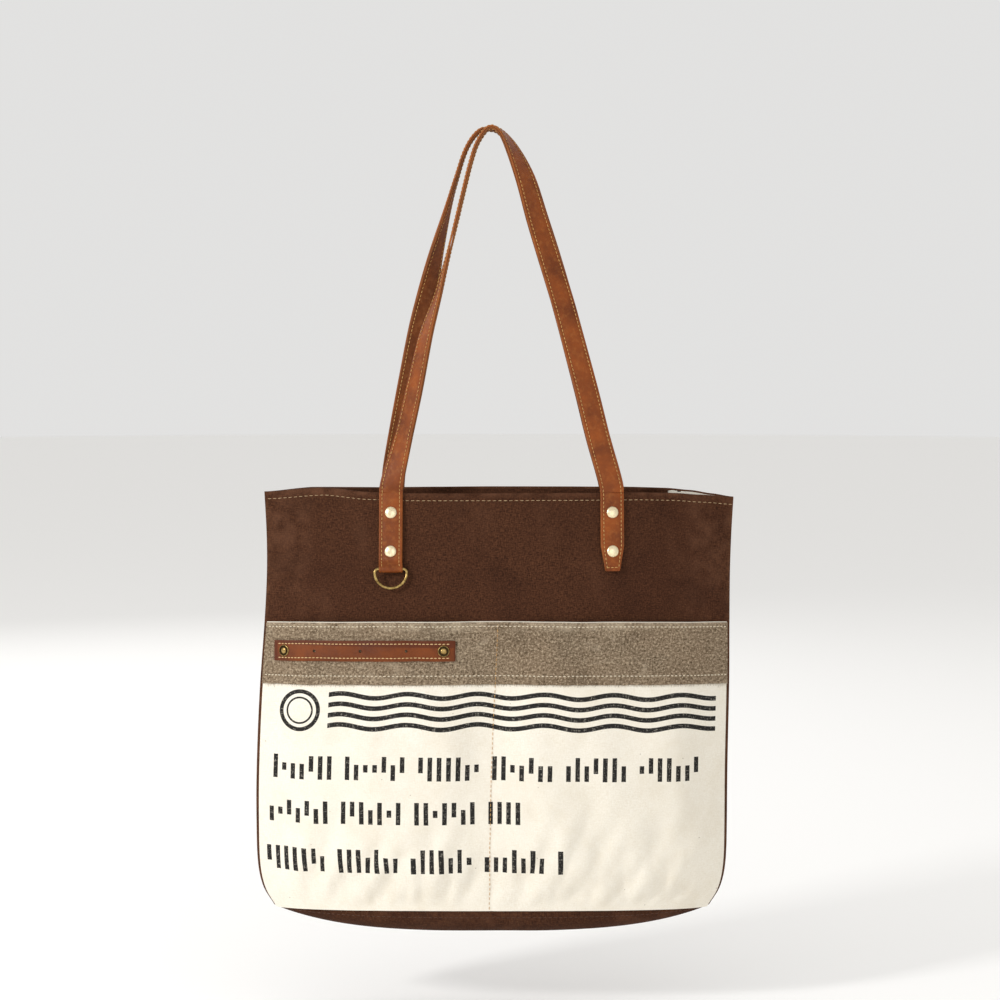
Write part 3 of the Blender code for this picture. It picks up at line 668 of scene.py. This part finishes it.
for side, label in ((front, "front"), (back, "back")):
    panel = clothGrid(label + "Panel", 150, 110, panelPlace(side), bag["canvas"], clothUv)
    wearOf(panel, panelWear)
    finishPiece(panel, brownCanvas, "bag", [label + "_panel"])

    def liningPlace(i, j, side=side):
        u = spreadShare(i) * 0.988
        top = mouthZ - 0.0042 + 0.0032 * ease(0.70, 0.735, u)    # tucked under the zip flap as far as it goes
        z = seamZ + 0.002 + (top - seamZ - 0.002) * j
        return layer(side, u, z, -bag["liningDepth"] * (1 - abs(u) ** 30))

    lining = clothGrid(label + "Lining", 90, 60, liningPlace, bag["liningCloth"], clothUv)
    finishPiece(lining, liningCloth, "bag", [label + "_lining"])


base = {"sagBelow": 0.0022, "rippleDepth": 0.0006, "overSeam": 0.0006,
        "liningInset": 0.0040, "liningLift": 0.0022}


def basePlace(inset, lift):
    def place(i, j):
        u, v = 2 * i - 1, 2 * j - 1
        halfWidth, halfDepth, square = bagSize(seamZ)
        rim = max(0.0, 1 - abs(u) ** bag["lensPower"]) ** (1 / square)
        sag = (seamZ - baseLow + base["sagBelow"]) * (1 - abs(u) ** 3.2) * (1 - abs(v) ** 5)
        sag += base["rippleDepth"] * noise.noise(Vector((u * 5, v * 3, 4.0))) * (1 - abs(u)) * (1 - abs(v))
        x = bagX + swingAt(seamZ) + u * (halfWidth - inset)
        rise = frontRise(u, seamZ) * max(0.0, -v) ** 2
        return Vector((x, v * rim * (halfDepth - inset), seamZ + base["overSeam"] - sag + lift + rise))
    return place


def baseUv(i, j):
    return (i * 0.38, j * 0.1)


baseCloth = clothGrid("baseCloth", 110, 40, basePlace(0.0, 0.0), bag["baseCanvas"], baseUv)
wearOf(baseCloth, lambda co: 0.5 * ease(0.3, 0.7, noise.noise(co * 30) + 0.4))
finishPiece(baseCloth, brownCanvas, "bag", ["base_panel"])
baseLining = clothGrid("baseLining", 70, 24, basePlace(base["liningInset"], base["liningLift"]),
                       bag["liningCloth"], baseUv)
finishPiece(baseLining, liningCloth, "bag", ["base_lining"])
print("bag body sewn")


# Pocket, band and strip

def pocketPlace(i, j):
    u = spreadShare(i) * pocket["edge"]
    z = seamZ - 0.0004 + (pocketZ - seamZ + 0.0004) * j
    seamPull = 0.0004 * math.exp(-(u * bagSize(z)[0] / 0.0016) ** 2)    # drawn in at the middle
    lift = pocket["lift"] - seamPull
    return layer(front, u, max(z, seamZ), lift, 1.0) + Vector((0, 0, min(0.0, z - seamZ)))


pocketCloth = clothGrid("pocketCloth", 190, 120, pocketPlace, pocket["cloth"],
                        lambda i, j: (spreadShare(i) * 0.2, seamZ + (pocketZ - seamZ) * j))
wearOf(pocketCloth, lambda co: 0.3)
finishPiece(pocketCloth, creamCanvas, "bag", ["pocket_panel"])


def bandPlace(i, j):
    u = spreadShare(i) * pocket["edge"]
    z = bandLowZ + (bandTopZ - bandLowZ) * j
    ragged = 0.0005 * noise.noise(Vector((u * 60, 0.5, 9.0))) * ease(0.12, 0.0, j)
    return layer(front, u, z + ragged, pocket["bandLift"], 1.0)


def bandWear(co):
    # faded along both edges and along fine crumple lines
    edge = max(ease(bandTopZ - 0.004, bandTopZ, co.z), ease(bandLowZ + 0.003, bandLowZ, co.z))
    crumple = ease(0.90, 1.0, 1 - abs(noise.noise(Vector((co.x * 45 + co.z * 60, co.z * 70, 6.0)))))
    return max(edge, 0.8 * crumple * ease(-0.1, 0.35, noise.noise(co * 28)))


band = clothGrid("pocketBand", 190, 28, bandPlace, pocket["bandCloth"],
                 lambda i, j: (spreadShare(i) * 0.2, j * 0.052))
wearOf(band, bandWear)
finishPiece(band, taupeCanvas, "bag", ["pocket_band"])


fringe = {"count": 520, "short": 0.0008, "long": 0.0030, "cornerGain": 1.7, "cornerFrom": 0.93,
          "thin": 0.00010, "thick": 0.00018, "deep": 0.00014}


def makeFringe():
    # loose weft ends along the band's raw lower edge
    points, faces = [], []
    for k in range(fringe["count"]):
        u = -pocket["edge"] + 2 * pocket["edge"] * (k + random.random()) / fringe["count"]
        spot, across, out = skinFrame(front, u, bandLowZ + 0.0008, 1.0)
        gain = fringe["cornerGain"] if abs(u) > fringe["cornerFrom"] else 1.0
        length = random.uniform(fringe["short"], fringe["long"]) * gain
        lean = across * random.uniform(-0.6, 0.6) + out * random.uniform(-0.05, 0.25)
        wide = across * random.uniform(fringe["thin"], fringe["thick"])
        deep = out * fringe["deep"]
        start = len(points)
        for step in range(4):
            t = step / 3
            middle = spot + out * pocket["bandLift"] + Vector((0, 0, -1)) * length * t
            middle += lean * length * t * t * 0.6
            for turn in (wide, deep, -wide, -deep):
                points.append(middle + turn * (1 - 0.5 * t))
        for step in range(3):
            for side in range(4):
                a, b = start + step * 4 + side, start + step * 4 + (side + 1) % 4
                faces.append((a, b, b + 4, a + 4))
        faces.append((start + 3, start + 2, start + 1, start))
        faces.append((start + 12, start + 13, start + 14, start + 15))
    mesh = bpy.data.meshes.new("bandFringe")
    mesh.from_pydata([tuple(p) for p in points], [], faces)
    piece = bpy.data.objects.new("bandFringe", mesh)
    bpy.context.scene.collection.objects.link(piece)
    fixNormals(piece)
    return finishPiece(piece, fringeThread, "bag", ())


fringeThread = threadMaterial("frayedCottonEnds", "B3A692", "7C6E5D")
makeFringe()

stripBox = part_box("leather_strip")
strip = {
    "top": stripBox[1].z - 0.0010, "low": stripBox[0].z + 0.0004,
    "left": stripBox[0].x + 0.0068, "right": stripBox[1].x,
    "thick": 0.0018, "base": 0.0028,      # from the bag's face to the strip's underside
    "edgeDrop": 0.0004, "edgeWide": 0.0016, "channel": 0.00018, "channelWide": 0.0005,
    "holes": (-0.1463, -0.1072, -0.0689), "holeSize": 0.00125, "inset": 0.0026, "rowEnd": 0.0036,
}
strip["long"], strip["tall"] = 0.154, 0.0166


def stripPlace(i, j):
    z = strip["low"] + (strip["top"] - strip["low"]) * j
    x = strip["left"] + (strip["right"] - strip["left"]) * i
    edge = min(i * strip["long"], (1 - i) * strip["long"], j * strip["tall"], (1 - j) * strip["tall"])
    soft = strip["edgeDrop"] * ease(strip["edgeWide"], 0.0, edge)
    channel = strip["channel"] * math.exp(-((edge - strip["inset"]) / strip["channelWide"]) ** 2)
    return layer(front, shareAt(x, z), z, strip["base"] + strip["thick"] / 2 - soft - channel, 1.0)


leatherStrip = clothGrid("leatherStrip", 200, 28, stripPlace, strip["thick"],
                         lambda i, j: (i * strip["long"], j * strip["tall"]))


def punch(piece, places, radius):
    # round holes right through a piece
    deselect()
    cutters = []
    for place in places:
        bpy.ops.mesh.primitive_cylinder_add(vertices=20, radius=radius, depth=0.012, location=place,
                                            rotation=(math.pi / 2, 0, 0))
        cutters.append(bpy.context.object)
    deselect()
    for cutter in cutters:
        cutter.select_set(True)
    bpy.context.view_layer.objects.active = cutters[0]
    bpy.ops.object.join()
    cutter = bpy.context.object
    hole = piece.modifiers.new("holes", "BOOLEAN")
    hole.operation = "DIFFERENCE"
    hole.object = cutter
    applyModifiers(piece)
    bpy.data.objects.remove(cutter, do_unlink=True)


stripMiddle = (strip["top"] + strip["low"]) / 2
punch(leatherStrip, [layer(front, shareAt(x, stripMiddle), stripMiddle, 0.003, 1.0) for x in strip["holes"]],
      strip["holeSize"])
wearOf(leatherStrip, lambda co: 1 - ease(0.0, 0.0010, min(co.z - strip["low"], strip["top"] - co.z,
                                                          co.x - strip["left"], strip["right"] - co.x)))
finishPiece(leatherStrip, stripLeather, "bag", ["leather_strip"])


def stripRow(z):
    row = []
    for k in range(121):
        x = strip["left"] + strip["rowEnd"] + (strip["right"] - strip["left"] - 2 * strip["rowEnd"]) * k / 120
        spot, _, out = skinFrame(front, shareAt(x, z), z, 1.0)
        row.append((spot + out * (strip["base"] + strip["thick"]), out))
    return row


stripRows = [stripRow(strip["low"] + strip["inset"]), stripRow(strip["top"] - strip["inset"])]
stitchRows("stripStitches", stripRows, strawThread, "bag", pitch=0.0034, share=0.78, thick=0.00090)
print("pocket sewn")


# Straps

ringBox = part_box("d_ring")
joints = {joint["name"]: joint for joint in frame["record"]["behaviour"]["joints"]}
ringPivot = Vector(joints["d_ring_swing"]["pos_m"])
ring = {"wire": 0.00125, "drop": 0.0162, "corner": 0.0030, "lean": math.radians(11), "clearance": 0.0002,
        "rampZ": -0.3590}    # the strap starts to stand away from the bag here
ring["half"] = (ringBox[1].x - ringBox[0].x) / 2 - ring["wire"]


def handleLoop(side):
    # middle, sideways and outward directions along the free part of one strap
    pathPoints = handlePaths[side]
    path = []
    last = len(pathPoints) - 1
    for i in range(last):
        around = [pathPoints[max(0, min(last, i + k))] for k in (-1, 0, 1, 2)]
        for step in range(strap["steps"]):
            t = step / strap["steps"]
            path.append([0.5 * (2 * b + (c - a) * t + (2 * a - 5 * b + 4 * c - d) * t * t
                                + (3 * b - a - 3 * c + d) * t ** 3) for a, b, c, d in zip(*around)])
    path.append(list(pathPoints[-1]))
    half = strap["layer"] + strap["slit"] + strap["lift"]
    foot = faceSpot(side, strap["leftX"], strap["pivotZ"] - 0.002, half)[0]
    loop = []
    for x, z, turn in path:
        share = min(1.0, max(0.0, z / strap["pivotZ"]))
        y = side * (strap["crownY"] + (abs(foot.y) - strap["crownY"]) * share)
        loop.append((Vector((x, y, z)), math.radians(turn)))
    frames = []
    for i, (spot, turn) in enumerate(loop):
        if i in (0, len(loop) - 1):
            along = Vector((0, 0, 1 if i == 0 else -1))
        else:
            along = (loop[i + 1][0] - loop[i - 1][0]).normalized()
        outside = Vector((-along.z, 0, along.x))
        normal = math.cos(turn) * Vector((0, side, 0)) + math.sin(turn) * outside
        wide = along.cross(normal).normalized()
        frames.append((spot, wide, wide.cross(along).normalized(), 1.0))
    return frames


def faceSpot(side, x, z, lift):
    spot, across, out = skinFrame(side, shareAt(x, z), z)
    return spot + out * lift, across, out


def tabFrames(side, x, downwards, bottom, tapered, overRing=False):
    # the riveted end of a strap, on the bag's face, from its low end up
    half = strap["layer"] + strap["slit"] + strap["lift"]
    reach = half
    frames = []
    if overRing:
        bend = ring["wire"] + ring["clearance"]
        reach += faceSpot(side, x, ringPivot.z, half)[0].y - (ringPivot.y - bend)
        for angle in (335, 312, 290, 270, 248, 225, 202):    # round the ring's bar, from behind
            a = math.radians(angle)
            out = Vector((0, math.cos(a), math.sin(a)))
            frames.append((ringPivot + out * bend, Vector((1, 0, 0)), out, 1.0))
    count = 44
    for k in range(count + 1):
        z = bottom + (strap["pivotZ"] - 0.0012 - bottom) * (k / count) ** 1.15
        spot, _, out = faceSpot(side, x, z, half)
        if overRing:
            turn = ease(ring["rampZ"], ringPivot.z, z)
            spot += Vector((x - spot.x, -(reach - half), 0)) * turn
            out = out.lerp(Vector((0, -1, 0)), turn).normalized()
        share = 1.0
        if tapered and z < strap["taperZ"]:
            t = (strap["taperZ"] - z) / (strap["taperZ"] - bottom)
            share = 1 - (1 - strap["tip"] * 2 / strap["width"]) * t
            share *= 1 - 0.10 * max(0.0, (t - 0.95) / 0.05) ** 2
        along = Vector((0, 0, -1 if downwards else 1))
        frames.append((spot, along.cross(out).normalized(), out, share))
    return list(reversed(frames)) if downwards else frames


def sweepStrap(name, frames, low, high, material, replaced, groove):
    # one leather layer swept along the strap, with eased edges and stitch channels
    half = strap["width"] / 2
    outer = [(-1.0, 0.35), (-0.985, 0.75), (-0.955, 1.0), (-0.82, 1.0), (-0.74, groove), (-0.66, 1.0),
             (-0.35, 1.03), (0.0, 1.05), (0.35, 1.03), (0.66, 1.0), (0.74, groove), (0.82, 1.0),
             (0.955, 1.0), (0.985, 0.75), (1.0, 0.35)]
    points, faces, around = [], [], len(outer) + 2
    for spot, wide, out, share in frames:
        for s, h in outer:
            points.append(spot + wide * s * half * share + out * (low + (high - low) * h))
        points.append(spot + wide * half * 0.995 * share + out * low)
        points.append(spot - wide * half * 0.995 * share + out * low)
    for k in range(len(frames) - 1):
        for i in range(around):
            a, b = k * around + i, k * around + (i + 1) % around
            faces.append((a, b, b + around, a + around))
    faces.append(tuple(reversed(range(around))))
    end = (len(frames) - 1) * around
    faces.append(tuple(range(end, end + around)))
    mesh = bpy.data.meshes.new(name)
    mesh.from_pydata([tuple(p) for p in points], [], faces)
    piece = bpy.data.objects.new(name, mesh)
    bpy.context.scene.collection.objects.link(piece)
    fixNormals(piece)
    edge = [1.0 if i in (0, 1, 13, 14, 15, 16) else 0.25 if i in (2, 12) else 0.0 for i in range(around)]
    attribute = mesh.attributes.new("wear", "FLOAT", "POINT")
    attribute.data.foreach_set("value", edge * len(frames))
    return finishPiece(piece, material, None, replaced, smooth=60)


def strapStitches(name, frames, height, sign, tips=()):
    half = strap["width"] / 2 - strap["stitchInset"]
    rows = [[(spot + wide * s * half * share + out * height * sign, out * sign)
             for spot, wide, out, share in frames] for s in (-1, 1)]
    for spot, wide, out, share in tips:    # the row that closes a tapered end
        rows.append([(spot + wide * s * half * share * 0.92 + out * height, out) for s in (-1, 0, 1)])
    return stitchRows(name, rows, tanThread, None, strap["stitchPitch"], 0.76, 0.00070)


def crossLine(piece):
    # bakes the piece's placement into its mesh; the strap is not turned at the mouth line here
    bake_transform(piece)


for side, label in ((front, "front"), (back, "back")):
    loop = handleLoop(side)
    overRing = side == front
    right = tabFrames(side, strap["rightX"], True, strap["endZ"], True)
    leftEnd = ringPivot.z if overRing else strap["endZ"]
    left = tabFrames(side, strap["leftX"], False, leftEnd, not overRing, overRing)
    leftInner = tabFrames(side, strap["leftX"], False, -0.3610, False) if overRing else left
    high = strap["layer"] + strap["slit"]
    ends = [f"{label}_left_strap_end", f"{label}_right_strap_end"]
    outerLayer = sweepStrap(label + "StrapOuter", left + loop + right, strap["slit"], high, leather,
                            [label + "_handle_outer"] + ends, 0.82)
    innerLayer = sweepStrap(label + "StrapInner", leftInner + loop + right, -strap["slit"], -high,
                            leatherBack, [label + "_handle_inner"], 0.9)
    lowestLeft = leftEnd + (0.0012 if overRing else strap["stitchInset"])
    lowestRight = strap["endZ"] + strap["stitchInset"]
    sewn = [f for f in left + loop + right if f[0].z > (lowestLeft if f[0].x < bagX else lowestRight)]
    tips = [sewn[-1]] if overRing else [sewn[0], sewn[-1]]
    crossLine(outerLayer)
    crossLine(innerLayer)
    crossLine(strapStitches(label + "StrapStitchesOut", sewn, high, 1, tips))
    crossLine(strapStitches(label + "StrapStitchesIn", loop, high, -1))
print("straps made")


# D-ring

def makeRing():
    path = []
    bow = ring["half"] - ring["corner"]
    for k in range(13):
        path.append((-bow + 2 * bow * k / 12, 0.0))
    for k in range(1, 8):
        a = math.pi / 2 * (1 - k / 8)
        path.append((bow + ring["corner"] * math.cos(a), -ring["corner"] * (1 - math.sin(a))))
    for k in range(1, 48):
        a = math.pi * k / 48
        z = -ring["corner"] - (ring["drop"] - ring["corner"]) * math.sin(a)
        path.append((ring["half"] * math.cos(a), z))
    for k in range(8, 0, -1):
        a = math.pi / 2 * (1 - k / 8)
        path.append((-bow - ring["corner"] * math.cos(a), -ring["corner"] * (1 - math.sin(a))))
    turn = Matrix.Rotation(-ring["lean"], 3, "X")
    curve = bpy.data.curves.new("dRing", "CURVE")
    curve.dimensions = "3D"
    spline = curve.splines.new("POLY")
    spline.points.add(len(path) - 1)
    for point, (x, z) in zip(spline.points, path):
        point.co = (*(ringPivot + turn @ Vector((x, 0, z))), 1)
    spline.use_cyclic_u = True
    curve.bevel_depth = ring["wire"]
    curve.bevel_resolution = 5
    piece = bpy.data.objects.new("dRing", curve)
    bpy.context.scene.collection.objects.link(piece)
    makeActive(piece)
    bpy.ops.object.convert(target="MESH")
    return finishPiece(bpy.context.object, antiqueBrass, "d_ring", ["d_ring"])


makeRing()


# Rivets and studs

# Each step inwards: how much narrower it is, and its rise as a share of the dome
capSteps = {
    "domed": [(0.86, 0.35), (0.80, 0.30), (0.70, 0.20), (0.50, 0.15)],
    "recessed": [(0.96, 0.12), (0.96, 0.0), (0.95, -0.45), (0.66, -0.05), (0.92, 0.45), (0.82, 0.25),
                 (0.55, 0.12)],
}


def turnedCap(name, radius, dome, rim, place, recessed=False):
    # a pressed cap: domed top, rolled rim, flat underside
    deselect()
    bpy.ops.mesh.primitive_circle_add(vertices=40, radius=radius * 0.9, fill_type="NGON")
    piece = bpy.context.object
    piece.name = piece.data.name = name
    bpy.ops.object.mode_set(mode="EDIT")
    bpy.ops.mesh.select_all(action="SELECT")
    bpy.ops.mesh.extrude_region_move(TRANSFORM_OT_translate={"value": (0, 0, rim * 0.35)})
    bpy.ops.transform.resize(value=(1 / 0.9, 1 / 0.9, 1))
    bpy.ops.mesh.extrude_region_move(TRANSFORM_OT_translate={"value": (0, 0, rim * 0.65)})
    bpy.ops.transform.resize(value=(0.955, 0.955, 1))
    for shrink, rise in capSteps["recessed" if recessed else "domed"]:
        bpy.ops.mesh.extrude_region_move(TRANSFORM_OT_translate={"value": (0, 0, dome * rise)})
        bpy.ops.transform.resize(value=(shrink, shrink, 1))
    bpy.ops.object.mode_set(mode="OBJECT")
    fixNormals(piece)
    if recessed:    # the groove round the dome is dark
        dark = piece.data.attributes.new("tarnish", "FLOAT", "POINT")
        reach = [v.co.to_2d().length / radius for v in piece.data.vertices]
        dark.data.foreach_set("value", [0.95 if 0.53 < r < 0.86 and v.co.z > rim * 0.2 else 0.0
                                        for r, v in zip(reach, piece.data.vertices)])
    piece.matrix_world = place
    bakePlace(piece)
    return piece


def outward(side, x, z, lift, swell=0.0):
    spot, _, out = skinFrame(side, shareAt(x, z), z, swell)
    turn = Vector((0, 0, 1)).rotation_difference(out).to_matrix().to_4x4()
    return Matrix.Translation(spot + out * lift) @ turn


def inward(place, depth):
    return place @ Matrix.Translation((0, 0, -depth)) @ Matrix.Rotation(math.pi, 4, "X")


rivet = {
    "radius": 0.0050, "dome": 0.0011, "rim": 0.0007, "heights": {"upper": -0.3215, "lower": -0.3535},
    "backShare": 0.9, "gap": 0.0001, "grip": 0.0032,    # the grip is the cloth that the two halves hold
}
strapTop = strap["lift"] + 2 * (strap["layer"] + strap["slit"])
for side, label in ((front, "front"), (back, "back")):
    for where, x in (("left", strap["leftX"]), ("right", strap["rightX"])):
        for level, z in rivet["heights"].items():
            node = f"{label}_{where}_{level}_rivet"
            place = outward(side, x, z, strapTop + rivet["gap"])
            cap = turnedCap(node + "Cap", rivet["radius"], rivet["dome"], rivet["rim"], place)
            finishPiece(cap, paleBrass, "bag", [node + "_cap"])
            backRadius = rivet["radius"] * rivet["backShare"]
            backCap = turnedCap(node + "Back", backRadius, rivet["dome"], rivet["rim"],
                                inward(place, strapTop + rivet["grip"]))
            finishPiece(backCap, paleBrass, "bag", [node + "_back"])

stud = {
    "places": {"left": -0.1708, "right": -0.0378}, "radius": 0.0050, "dome": 0.0016, "rim": 0.0008,
    "backRadius": 0.0044, "backDome": 0.0010, "backRim": 0.0006, "gap": 0.0002,
}
for where, x in stud["places"].items():
    node = f"strip_{where}_stud"
    lift = strip["base"] + strip["thick"]
    place = outward(front, x, stripMiddle, lift, 1.0)
    cap = turnedCap(node + "Cap", stud["radius"], stud["dome"], stud["rim"], place, recessed=True)
    finishPiece(cap, antiqueBrass, "bag", [node + "_cap"])
    backCap = turnedCap(node + "Back", stud["backRadius"], stud["backDome"], stud["backRim"],
                        inward(place, lift + stud["gap"]))
    finishPiece(backCap, antiqueBrass, "bag", [node + "_back"])
print("rivets set")


# Zip closure

zipLine = {side: (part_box(f"zip_teeth_{label}")[0].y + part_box(f"zip_teeth_{label}")[1].y) / 2
           for side, label in ((front, "front"), (back, "back"))}
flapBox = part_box("zip_flap_front")
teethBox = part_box("zip_teeth_front")

zipper = {
    "flap": 0.0009, "flapDrop": 0.0012, "flapDepth": 0.0036, "ripple": 0.0006,    # how the flap starts
    "toothPitch": 0.0026, "tooth": (0.0013, 0.0028, 0.0024), "toothEdge": 0.0003,
    "plate": 0.0010,    # the slider's plates
}


def zipFlapPlace(side):
    def place(i, j):
        x = flapBox[0].x + (flapBox[1].x - flapBox[0].x) * i
        share = 1 - j
        topSpot = layer(side, shareAt(x, mouthZ), mouthZ - zipper["flapDrop"], -zipper["flapDepth"])
        z = topSpot.z + (flapBox[0].z - topSpot.z) * share
        y = topSpot.y + (zipLine[side] - topSpot.y) * (share ** 1.3)
        y += zipper["ripple"] * noise.noise(Vector((x * 25, share * 2, side))) * math.sin(math.pi * share)
        return Vector((x, y, z))
    return place


for side, label in ((front, "front"), (back, "back")):
    flap = clothGrid(f"zipFlap_{label}", 90, 12, zipFlapPlace(side), zipper["flap"],
                     lambda i, j: (i * 0.29, j * 0.03))
    wearOf(flap, lambda co: 0.1)
    finishPiece(flap, brownCanvas, "bag", [f"zip_flap_{label}"])
    deselect()
    firstTooth = (teethBox[0].x + 0.001, zipLine[side], teethBox[0].z + zipper["tooth"][2] / 2)
    bpy.ops.mesh.primitive_cube_add(size=1, location=firstTooth)
    tooth = bpy.context.object
    tooth.scale = zipper["tooth"]
    bakePlace(tooth)
    edge = tooth.modifiers.new("edge", "BEVEL")
    edge.width, edge.segments = zipper["toothEdge"], 1
    row = tooth.modifiers.new("row", "ARRAY")
    row.use_relative_offset = False
    row.use_constant_offset = True
    row.constant_offset_displace = (zipper["toothPitch"], 0, 0)
    row.count = int((teethBox[1].x - teethBox[0].x - 0.002) / zipper["toothPitch"])
    tooth.name = tooth.data.name = f"zipTeeth_{label}"
    applyModifiers(tooth)
    finishPiece(tooth, antiqueBrass, "bag", [f"zip_teeth_{label}"])

sliderBox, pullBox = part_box("zip_slider"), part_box("zip_pull")


def makeSlider():
    middle = (sliderBox[0] + sliderBox[1]) / 2
    size = sliderBox[1] - sliderBox[0]
    deselect()
    parts = []
    plate = zipper["plate"]
    for y in (sliderBox[0].y + plate / 2, sliderBox[1].y - plate / 2):
        bpy.ops.mesh.primitive_cube_add(size=1, location=(middle.x, y, middle.z))
        cheek = bpy.context.object
        cheek.scale = (size.x, plate, size.z)
        bakePlace(cheek)
        parts.append(cheek)
    bpy.ops.mesh.primitive_cube_add(size=1, location=(middle.x, middle.y, sliderBox[0].z + plate / 2))
    web = bpy.context.object
    web.scale = (size.x * 0.9, size.y, plate)
    bakePlace(web)
    parts.append(web)
    for piece in parts:
        piece.select_set(True)
    bpy.context.view_layer.objects.active = parts[0]
    bpy.ops.object.join()
    slider = bpy.context.object
    slider.name = slider.data.name = "zipSlider"
    melt = slider.modifiers.new("melt", "REMESH")
    melt.mode, melt.voxel_size = "VOXEL", 0.00028
    soft = slider.modifiers.new("soft", "SMOOTH")
    soft.iterations = 3
    applyModifiers(slider)
    return finishPiece(slider, antiqueBrass, "zip_slider", ["zip_slider"])


def makePull():
    middle = (pullBox[0] + pullBox[1]) / 2
    size = pullBox[1] - pullBox[0]
    deselect()
    bpy.ops.mesh.primitive_cube_add(size=1, location=middle)
    pull = bpy.context.object
    pull.name = pull.data.name = "zipPull"
    pull.scale = (size.x, size.y, size.z)
    bakePlace(pull)
    bpy.ops.object.mode_set(mode="EDIT")
    bpy.ops.mesh.select_all(action="SELECT")
    bpy.ops.mesh.subdivide(number_cuts=6)
    bpy.ops.object.mode_set(mode="OBJECT")
    for vertex in pull.data.vertices:    # a waist below the eye and a rounded end
        t = (vertex.co.z - pullBox[0].z) / size.z
        waist = 1 - 0.45 * math.exp(-((t - 0.78) / 0.12) ** 2)
        end = math.sqrt(max(0.05, 1 - (max(0.0, 0.12 - t) / 0.12) ** 2))
        vertex.co.x = middle.x + (vertex.co.x - middle.x) * waist * end
    soft = pull.modifiers.new("soft", "BEVEL")
    soft.width, soft.segments, soft.limit_method = 0.0003, 2, "ANGLE"
    applyModifiers(pull)
    return finishPiece(pull, antiqueBrass, "zip_pull", ["zip_pull"])


makeSlider()
makePull()
print("zip made")


# Seams of thread

# Height of each row, and how far out it lies
seams = {"hem": mouthZ - 0.0060, "bandTop": bandTopZ - 0.0034, "bandLow": bandLowZ + 0.0075,
         "base": seamZ + 0.0050, "hemLift": 0.0003, "backLift": 0.0001}
hemRows = [seamRow(side, (-0.99, 0.99), (seams["hem"],) * 2, seams["hemLift"]) for side in (front, back)]
stitchRows("hemStitches", hemRows, paleThread, "bag", pitch=0.0046, share=0.7, thick=0.00060)
for row in ("Top", "Low"):
    bandRow = seamRow(front, (-0.975, 0.975), (seams["band" + row],) * 2, pocket["bandFace"], 1.0)
    stitchRows(f"band{row}Stitches", [bandRow], washedThread, "bag", pitch=0.0036, share=0.62, thick=0.00105)
middleShare = shareAt(bagX - 0.0055, -0.54)
middleRows = [
    seamRow(front, (middleShare + 0.003, middleShare + 0.001), (pocketZ - 0.002, bandLowZ + 0.001),
            pocket["bandFace"], 1.0, 60),
    seamRow(front, (middleShare + 0.001, middleShare - 0.012), (bandLowZ, seamZ + 0.002),
            pocket["face"], 1.0, 160),
]
stitchRows("middleStitches", middleRows, tanThread, "bag", pitch=0.0040, thick=0.00060)
lowRow = seamRow(back, (-0.98, 0.98), (seams["base"],) * 2, seams["backLift"])
stitchRows("seamStitches", [lowRow], brownThread, "bag", pitch=0.0044, thick=0.00055)


def baseRow(v):
    place = basePlace(0.0, -0.0009)
    row = []
    for k in range(201):
        spot = place(0.01 + 0.98 * k / 200, (v + 1) / 2)
        row.append((spot, Vector((0, v * 0.7, -0.7)).normalized()))
    return row


stitchRows("baseStitches", [baseRow(-0.93), baseRow(0.93)], brownThread, "bag", pitch=0.0044, thick=0.00060)
print("seams stitched")


# Studio

view = {"target": (0.0094, 0.0, -0.3120), "distance": 2.40, "elevation": 4.5, "halfHeight": 0.425}
studio = {
    "floorDrop": 0.075, "floorRadius": 9, "floorColour": "FBFAF8", "world": 0.76, "aim": (0, 0, -0.4),
    # place, size and power of each lamp
    "lamps": {"key": ((-2.0, -1.6, 0.7), 0.4, 34), "fill": ((0.5, -3.0, 0.1), 1.8, 8),
              "top": ((0.2, 0.9, 1.6), 1.4, 6), "rear": ((-0.8, 2.2, 0.6), 1.6, 8)},
}


def makeStudio():
    deselect()
    bpy.ops.mesh.primitive_circle_add(vertices=96, radius=studio["floorRadius"], fill_type="NGON",
                                      location=(0, 0, baseLow - studio["floorDrop"]))
    floor = bpy.context.object
    floor.name = "floor"
    material, _, shader = newMaterial("paleFloor", 0.9)
    shader.inputs["Base Color"].default_value = linear(studio["floorColour"])
    floor.data.materials.append(material)
    for name, (place, size, power) in studio["lamps"].items():
        light = bpy.data.lights.new(name, "AREA")
        light.energy, light.size = power, size
        lamp = bpy.data.objects.new(name, light)
        lamp.location = place
        lamp.rotation_euler = (Vector(studio["aim"]) - Vector(place)).to_track_quat("-Z", "Y").to_euler()
        bpy.context.scene.collection.objects.link(lamp)
    world = bpy.data.worlds.new("studio")
    world.use_nodes = True
    world.node_tree.nodes["Background"].inputs[0].default_value = (1.0, 0.995, 0.985, 1)
    world.node_tree.nodes["Background"].inputs[1].default_value = studio["world"]
    bpy.context.scene.world = world
    camera = bpy.data.cameras.new("camera")
    camera.sensor_width = 36
    camera.lens = camera.sensor_width / 2 / (view["halfHeight"] / view["distance"])
    lens = bpy.data.objects.new("camera", camera)
    tilt = math.radians(view["elevation"])
    away = Vector((0, -math.cos(tilt), math.sin(tilt)))
    lens.location = Vector(view["target"]) + away * view["distance"]
    lens.rotation_euler = (-away).to_track_quat("-Z", "Y").to_euler()
    bpy.context.scene.collection.objects.link(lens)
    bpy.context.scene.camera = lens
    bpy.context.scene.view_settings.view_transform = "Standard"


makeStudio()
